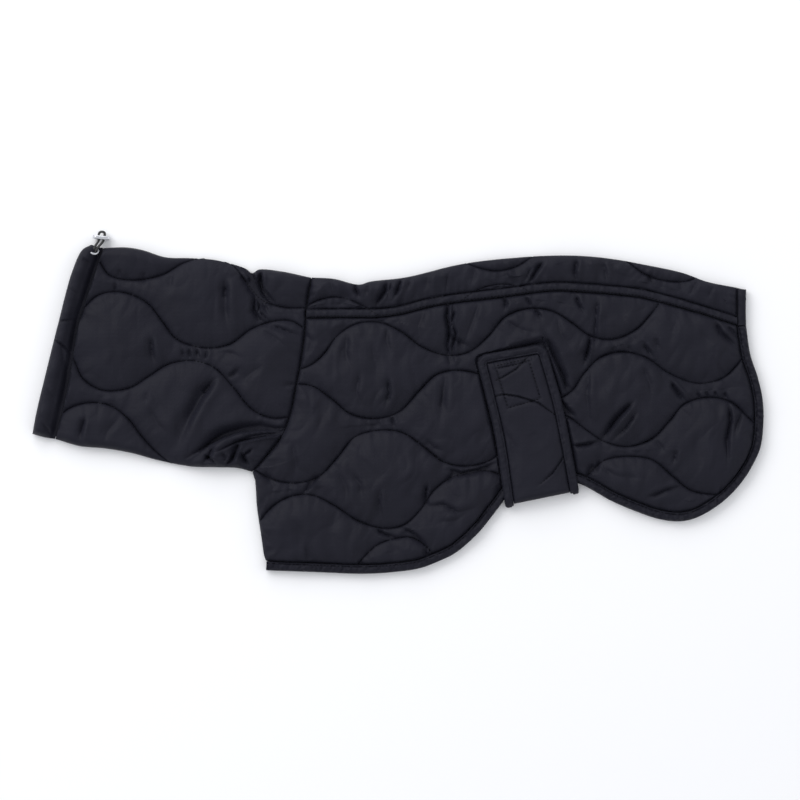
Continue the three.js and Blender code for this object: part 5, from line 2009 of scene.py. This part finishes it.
    def _frames(self, path: Array) -> tuple[Array, Array, Array]:
        """Finds how the binding stands along its way.

        Args:
            path: the binding's path.

        Returns:
            The path, with unit vectors to the outside of the strap and out of its cloth.
        """
        along = unit(np.gradient(path, axis=0))
        centre = np.array([*STRAP_MIDDLE, 0.0])
        side = np.cross(along, [0.0, 0.0, 1.0])
        steep = (np.linalg.norm(side, axis=1) < 0.75) | (np.abs(along[:, 2]) > 0.02)
        strap_across = unit(np.append(self.right.at(0.9) - self.left.at(0.9), 0.0))
        on_left = path[:, 0] < self.place(np.array([0.5]), np.array([120.0]))[0, 0]
        fixed = np.where(on_left[:, None], -strap_across, strap_across)
        side = unit(np.where(steep[:, None], fixed, side))
        inwards = (side * (path - centre)).sum(axis=1) < 0
        side = np.where(inwards[:, None], -side, side)
        up = unit(np.cross(side, along))
        first = len(path) // 2
        if up[first, 2] < 0:
            up = -up
        for order in (range(first + 1, len(path)), range(first - 1, -1, -1)):
            before = first
            for k in order:
                if up[k] @ up[before] < 0:
                    up[k] = -up[k]
                before = k
        return path, side, up

    def binding(self) -> tuple[bpy.types.Object, Array]:
        """Makes the tape round the strap's edge.

        Returns:
            The tape, and the grid of its top.
        """
        path, side, up = self.edge_path()
        tape = Tape(low=0.0, high=4.0, stitched_at=-0.62, ripple=0.8, seed=61)
        return tape.sweep("belly_strap_tape", path - up * (self.wall / 2), side, up)

    def sewing(self) -> list[Array]:
        """The strap's stitched rows: the box, its double row above, and the quilting.

        Returns:
            Plan points of each row.
        """
        corners = np.array(HOOK_BOX[:2])
        double = np.linspace(corners[0] + [-1.2, 2.6], corners[1] + [-0.6, 2.6], 60)
        quilting = [Curve(crease.path).points for crease in STRAP_QUILTING[:QUILTED_ROWS]]
        return [*box_sides(60), double, *quilting]


# Eyelet, cord and stopper


@dataclass
class NeckFastening:
    """The eyelet in the casing, the drawcord and its two-hole stopper."""

    ring: float = 4.1
    section: float = 1.15
    plate_length: float = 16.0
    plate_height: float = 7.6
    plate_thickness: float = 3.4
    plate_turn: float = -0.11
    hole: float = 1.25
    hole_offset: float = 2.2
    hole_oval: float = 0.98
    round_edge: float = 0.9

    def eyelet(self) -> bpy.types.Object:
        """Makes the rolled ring of the eyelet, a little flattened.

        Returns:
            The ring.
        """
        rings, around = 48, 16
        a = 2 * math.pi * np.arange(rings)[:, None] / rings
        b = 2 * math.pi * np.arange(around)[None, :] / around
        radius = self.ring + self.section * np.cos(b) * (1 + 0.08 * np.sin(b))
        rise = self.section * 0.82 * np.sin(b) + np.zeros_like(a)
        local = np.dstack([radius * np.cos(a), radius * np.sin(a), rise])
        turn = Vector((0, 0, 1)).rotation_difference(Vector(EYELET_FACING).normalized()).to_matrix()
        points = local.reshape(-1, 3) @ np.array(turn).T + np.array(EYELET)
        ids = np.arange(rings * around).reshape(rings, around)
        return mesh_object("eyelet_ring", points, grid_faces(np.vstack([ids, ids[:1]]), True))

    def cord_path(self) -> Array:
        """The middle line of the drawcord's free loop.

        Returns:
            Its points, in mm.
        """
        control = np.array(CORD_ROUTE)
        knots = runs(control)
        at = np.linspace(0, knots[-1], 121)
        k = np.clip(np.searchsorted(knots, at) - 1, 0, len(knots) - 2)
        width = (knots[k + 1] - knots[k])[:, None]
        slopes = np.gradient(control, knots, axis=0)
        t = (at - knots[k])[:, None] / width
        return hermite(t, control[k], control[k + 1], width * slopes[k], width * slopes[k + 1])

    def cord(self) -> bpy.types.Object:
        """Makes the drawcord's free loop as one round curve.

        Returns:
            The cord.
        """
        path = self.cord_path()
        curve = bpy.data.curves.new("drawcord_loop", "CURVE")
        curve.dimensions = "3D"
        curve.bevel_depth = CORD_DIAMETER / 2 * MM
        curve.bevel_resolution = 5
        curve.use_fill_caps = True
        spline = curve.splines.new("POLY")
        spline.points.add(len(path) - 1)
        spline.points.foreach_set("co", np.hstack([path * MM, np.ones((len(path), 1))]).ravel())
        spline.use_smooth = True
        return linked("drawcord_loop", curve)

    def plate_outlines(self) -> list[list[Point]]:
        """The stopper's outline and its two holes, less the rounding.

        Returns:
            Points of each loop, in mm.
        """
        half = self.plate_height / 2 - self.round_edge
        reach = self.plate_length / 2 - self.round_edge - half
        turns = np.linspace(-math.pi / 2, math.pi / 2, 15)
        right = [(reach + half * math.cos(a), half * math.sin(a)) for a in turns]
        left = [(-x, -y) for x, y in right]
        radius = self.hole + self.round_edge
        holes = [
            [(side * self.hole_offset + self.hole_oval * radius * math.cos(a), radius * math.sin(a))
             for a in np.linspace(0, -2 * math.pi, 21)[:-1]]
            for side in (-1, 1)
        ]
        return [right + left, *holes]

    def stopper(self) -> bpy.types.Object:
        """Makes the plated stopper, a rounded plate with two holes.

        Returns:
            The stopper.
        """
        curve = bpy.data.curves.new("stopper_outline", "CURVE")
        curve.dimensions = "2D"
        curve.fill_mode = "BOTH"
        curve.extrude = (self.plate_thickness / 2 - self.round_edge) * MM
        curve.bevel_depth = self.round_edge * MM
        curve.bevel_resolution = 4
        for outline in self.plate_outlines():
            spline = curve.splines.new("POLY")
            spline.points.add(len(outline) - 1)
            flat = [c for x, y in outline for c in (x * MM, y * MM, 0.0, 1.0)]
            spline.points.foreach_set("co", flat)
            spline.use_cyclic_u = True
        holder = linked("stopper_outline", curve)
        graph = bpy.context.evaluated_depsgraph_get()
        mesh = bpy.data.meshes.new_from_object(holder.evaluated_get(graph))
        bpy.data.objects.remove(holder)
        smoothed(mesh, 40.0, weld=True)
        upright = np.array([[1, 0, 0], [0, 0, 1], [0, 1, 0]], float)
        c, s = math.cos(self.plate_turn), math.sin(self.plate_turn)
        swing = np.array([[c, -s, 0], [s, c, 0], [0, 0, 1]])
        points = np.array([v.co for v in mesh.vertices]) @ upright.T @ swing.T + np.array(STOPPER) * MM
        mesh.vertices.foreach_set("co", points.ravel())
        mesh.flip_normals()
        mesh.update()
        return linked("cord_stopper_plate", mesh)


# Studio


@dataclass(frozen=True)
class Studio:
    """A white table under soft lights, and a camera that looks straight down."""

    pixel_mm: float = 0.9
    frame_px: int = 800
    middle: Point = (1.8, 8.3)
    height: float = 3.0
    table_half: float = 6.0
    table_clear: float = 2e-5
    sky: float = 0.8

    # Each light's name, its place and its size in metres, and its watts
    LIGHTS = (
        ("key", (-0.8, 3.0, 2.0), 2.2, 34.0),
        ("left", (-2.3, 1.6, 2.1), 1.8, 43.0),
        ("right", (4.0, 0.8, 1.8), 2.6, 12.0),
    )

    def camera(self) -> None:
        """Makes the camera above the middle of the picture."""
        data = bpy.data.cameras.new("camera")
        data.sensor_width = 36.0
        data.lens = data.sensor_width * self.height / (self.pixel_mm * self.frame_px * MM)
        camera = linked("camera", data)
        camera.location = (self.middle[0] * MM, self.middle[1] * MM, self.height)
        bpy.context.scene.camera = camera

    def light(self, name: str, place: tuple[float, float, float], size: float, watts: float) -> None:
        """Makes a square soft light that faces the coat.

        Args:
            name: its name.
            place: where it stands, in metres.
            size: its side, in metres.
            watts: its power.
        """
        data = bpy.data.lights.new(name, "AREA")
        data.shape = "SQUARE"
        data.size = size
        data.energy = watts
        lamp = linked(name, data)
        lamp.location = place
        lamp.rotation_mode = "QUATERNION"
        lamp.rotation_quaternion = (-Vector(place)).to_track_quat("-Z", "Y")

    def floor(self) -> None:
        """Makes the pale table that the coat lies on."""
        corners = [(x, y, -self.table_clear) for x, y in ((-1, -1), (1, -1), (1, 1), (-1, 1))]
        mesh = bpy.data.meshes.new("table")
        size = np.array([self.table_half, self.table_half, 1.0])
        mesh.from_pydata((np.array(corners) * size).tolist(), [], [[0, 1, 2, 3]])
        material, _ = new_material("white_paper", {"Base Color": linear("#fafafb"), "Roughness": 0.9})
        mesh.materials.append(material)
        linked("table", mesh)

    def build(self) -> None:
        """Sets up the whole studio."""
        self.floor()
        world = bpy.data.worlds.new("studio")
        world.use_nodes = True
        sky = world.node_tree.nodes["Background"]
        sky.inputs["Color"].default_value = linear("#f4f6fa")
        sky.inputs["Strength"].default_value = self.sky
        bpy.context.scene.world = world
        bpy.context.scene.view_settings.view_transform = "Standard"
        for light in self.LIGHTS:
            self.light(*light)


# The coat


@dataclass
class Coat:
    """The whole coat, built from its cut pieces."""

    finishes: Finishes = field(default_factory=Finishes)
    thread: Thread = field(default_factory=Thread)

    def sewn(self, name: str, paths: Sequence[Array], skin: Array) -> bpy.types.Object:
        """Sews rows of stitches on a skin.

        Args:
            name: the stitches' name.
            paths: plan points of each row.
            skin: the skin's grid.

        Returns:
            The stitches.
        """
        surface = Surface(skin)
        rows = [stitch for path in paths for stitch in self.thread.row(path, surface)]
        return self.finishes.dress(self.thread.mesh(name, rows), Slot.TAPE, material=self.finishes.thread)

    def turned(self, name: str, seam: Array) -> bpy.types.Object:
        """Builds the seam allowance below a seam."""
        return self.finishes.dress(allowance(name, seam), Slot.SHELL)

    def fastening(self) -> None:
        """Builds the eyelet, the drawcord and the stopper."""
        parts = NeckFastening()
        self.finishes.dress(parts.eyelet(), Slot.METAL, "eyelet")
        cord = self.finishes.dress(parts.cord(), Slot.CORD, "drawcord")
        stopper = self.finishes.dress(parts.stopper(), Slot.METAL, "cord_stopper")

    def neck(self) -> None:
        """Builds the casing and the neck tube."""
        casing_piece = self.finishes.dress(neck_casing().build(), Slot.SHELL, "neck_casing")
        tube = neck_tube()
        tube_piece = self.finishes.dress(tube.build(), Slot.SHELL, "neck_tube")
        stitches = self.sewn("neck_quilting_stitches", [line.points for line in tube.lines], tube.skin)
        t = np.linspace(0.004, 0.985, 90)
        collar = self.turned("collar_seam_allowance", neck_seam().at(t))
        edge = self.turned("casing_seam_allowance", Curve(CASING_SEAM).at(t))

    def back(self) -> None:
        """Builds the spine panel and the tail hem."""
        panel = spine_panel()
        piece = self.finishes.dress(panel.build(), Slot.SHELL, "spine_panel")
        u = np.linspace(0.003, 0.997, 700)
        depths = panel.patch.depth(u)
        rows = [panel.patch.at(u, 1 - up / depths) for up in (BAND_WIDTH + 0.1, 1.2)]
        stitches = self.sewn("spine_stitches", [*(line.points for line in panel.lines), *rows], panel.skin)
        hem = self.finishes.dress(tail_hem().build(), Slot.TAPE, "tail_hem")
        along_seam = Curve(SPINE_SEAM).at(np.linspace(0.01, 0.999, 120))
        last = [TAIL_EDGE[1][0] - 0.8, TAIL_EDGE[1][1]]
        turned = self.turned("spine_seam_allowance", np.vstack([along_seam, last]))
        top, bottom = np.array(TAIL_INNER[0]) - [0.3, 0.6], np.array(TAIL_INNER[1]) - [0.3, 0.0]
        end = self.turned("tail_seam_allowance", np.linspace(top, bottom, 12))

    def sides(self) -> None:
        """Builds the two side panels with their hem bindings."""
        patch = side_patch()
        far_lines = [StitchLine(rows, FAR_SIDE_SHIFT) for rows in BODY_LINES]
        far = SidePanel("far_side_cloth", Layer.FAR, far_lines, columns=200, rows=100)
        far_piece = self.finishes.dress(far.build(patch), Slot.SHELL, "far_side")
        near = SidePanel("near_side_cloth", Layer.NEAR, [StitchLine(rows) for rows in BODY_LINES])
        near_piece = self.finishes.dress(near.build(patch), Slot.SHELL, "near_side")
        stitches = self.sewn("side_quilting_stitches", [line.points for line in near.lines], near.skin)
        centre, side, up = hem_path(1.1)
        low = np.array([0.0, 0.0, NEAR_INSIDE])
        tape, top = Tape().sweep("near_hem_tape", centre + low, side, up)
        self.finishes.dress(tape, Slot.TAPE, "near_binding")
        line = centre[:, :2] + side[:, :2] * (STITCHED_AT * BINDING_WIDTH / 2)
        tape_stitches = self.sewn("near_hem_stitches", [line], top)
        flat_tape = Tape(low=0.0, high=FAR_WALL, ripple=0.08, seed=43)
        under, _ = flat_tape.sweep("far_hem_tape", centre, side, up)
        self.finishes.dress(under, Slot.TAPE, "far_binding")
        edge = centre[:, :2] - side[:, :2] * (BINDING_WIDTH / 2 - 0.2)
        turned = self.turned("hem_seam_allowance", edge[4:])

    def strap(self) -> None:
        """Builds the belly strap with its binding."""
        strap = BellyStrap()
        piece = self.finishes.dress(strap.build(), Slot.SHELL, "belly_strap")
        tape, _ = strap.binding()
        self.finishes.dress(tape, Slot.TAPE, "belly_strap_binding")
        stitches = self.sewn("strap_stitches", strap.sewing(), strap.skin)


def main() -> None:
    """Builds the camera, the coat and the studio, in order."""
    logging.basicConfig(level=logging.INFO, format="%(message)s")
    studio = Studio()
    studio.camera()
    coat = Coat()
    coat.fastening()
    coat.neck()
    coat.back()
    coat.sides()
    coat.strap()
    studio.build()


if __name__ == "__main__":
    main()
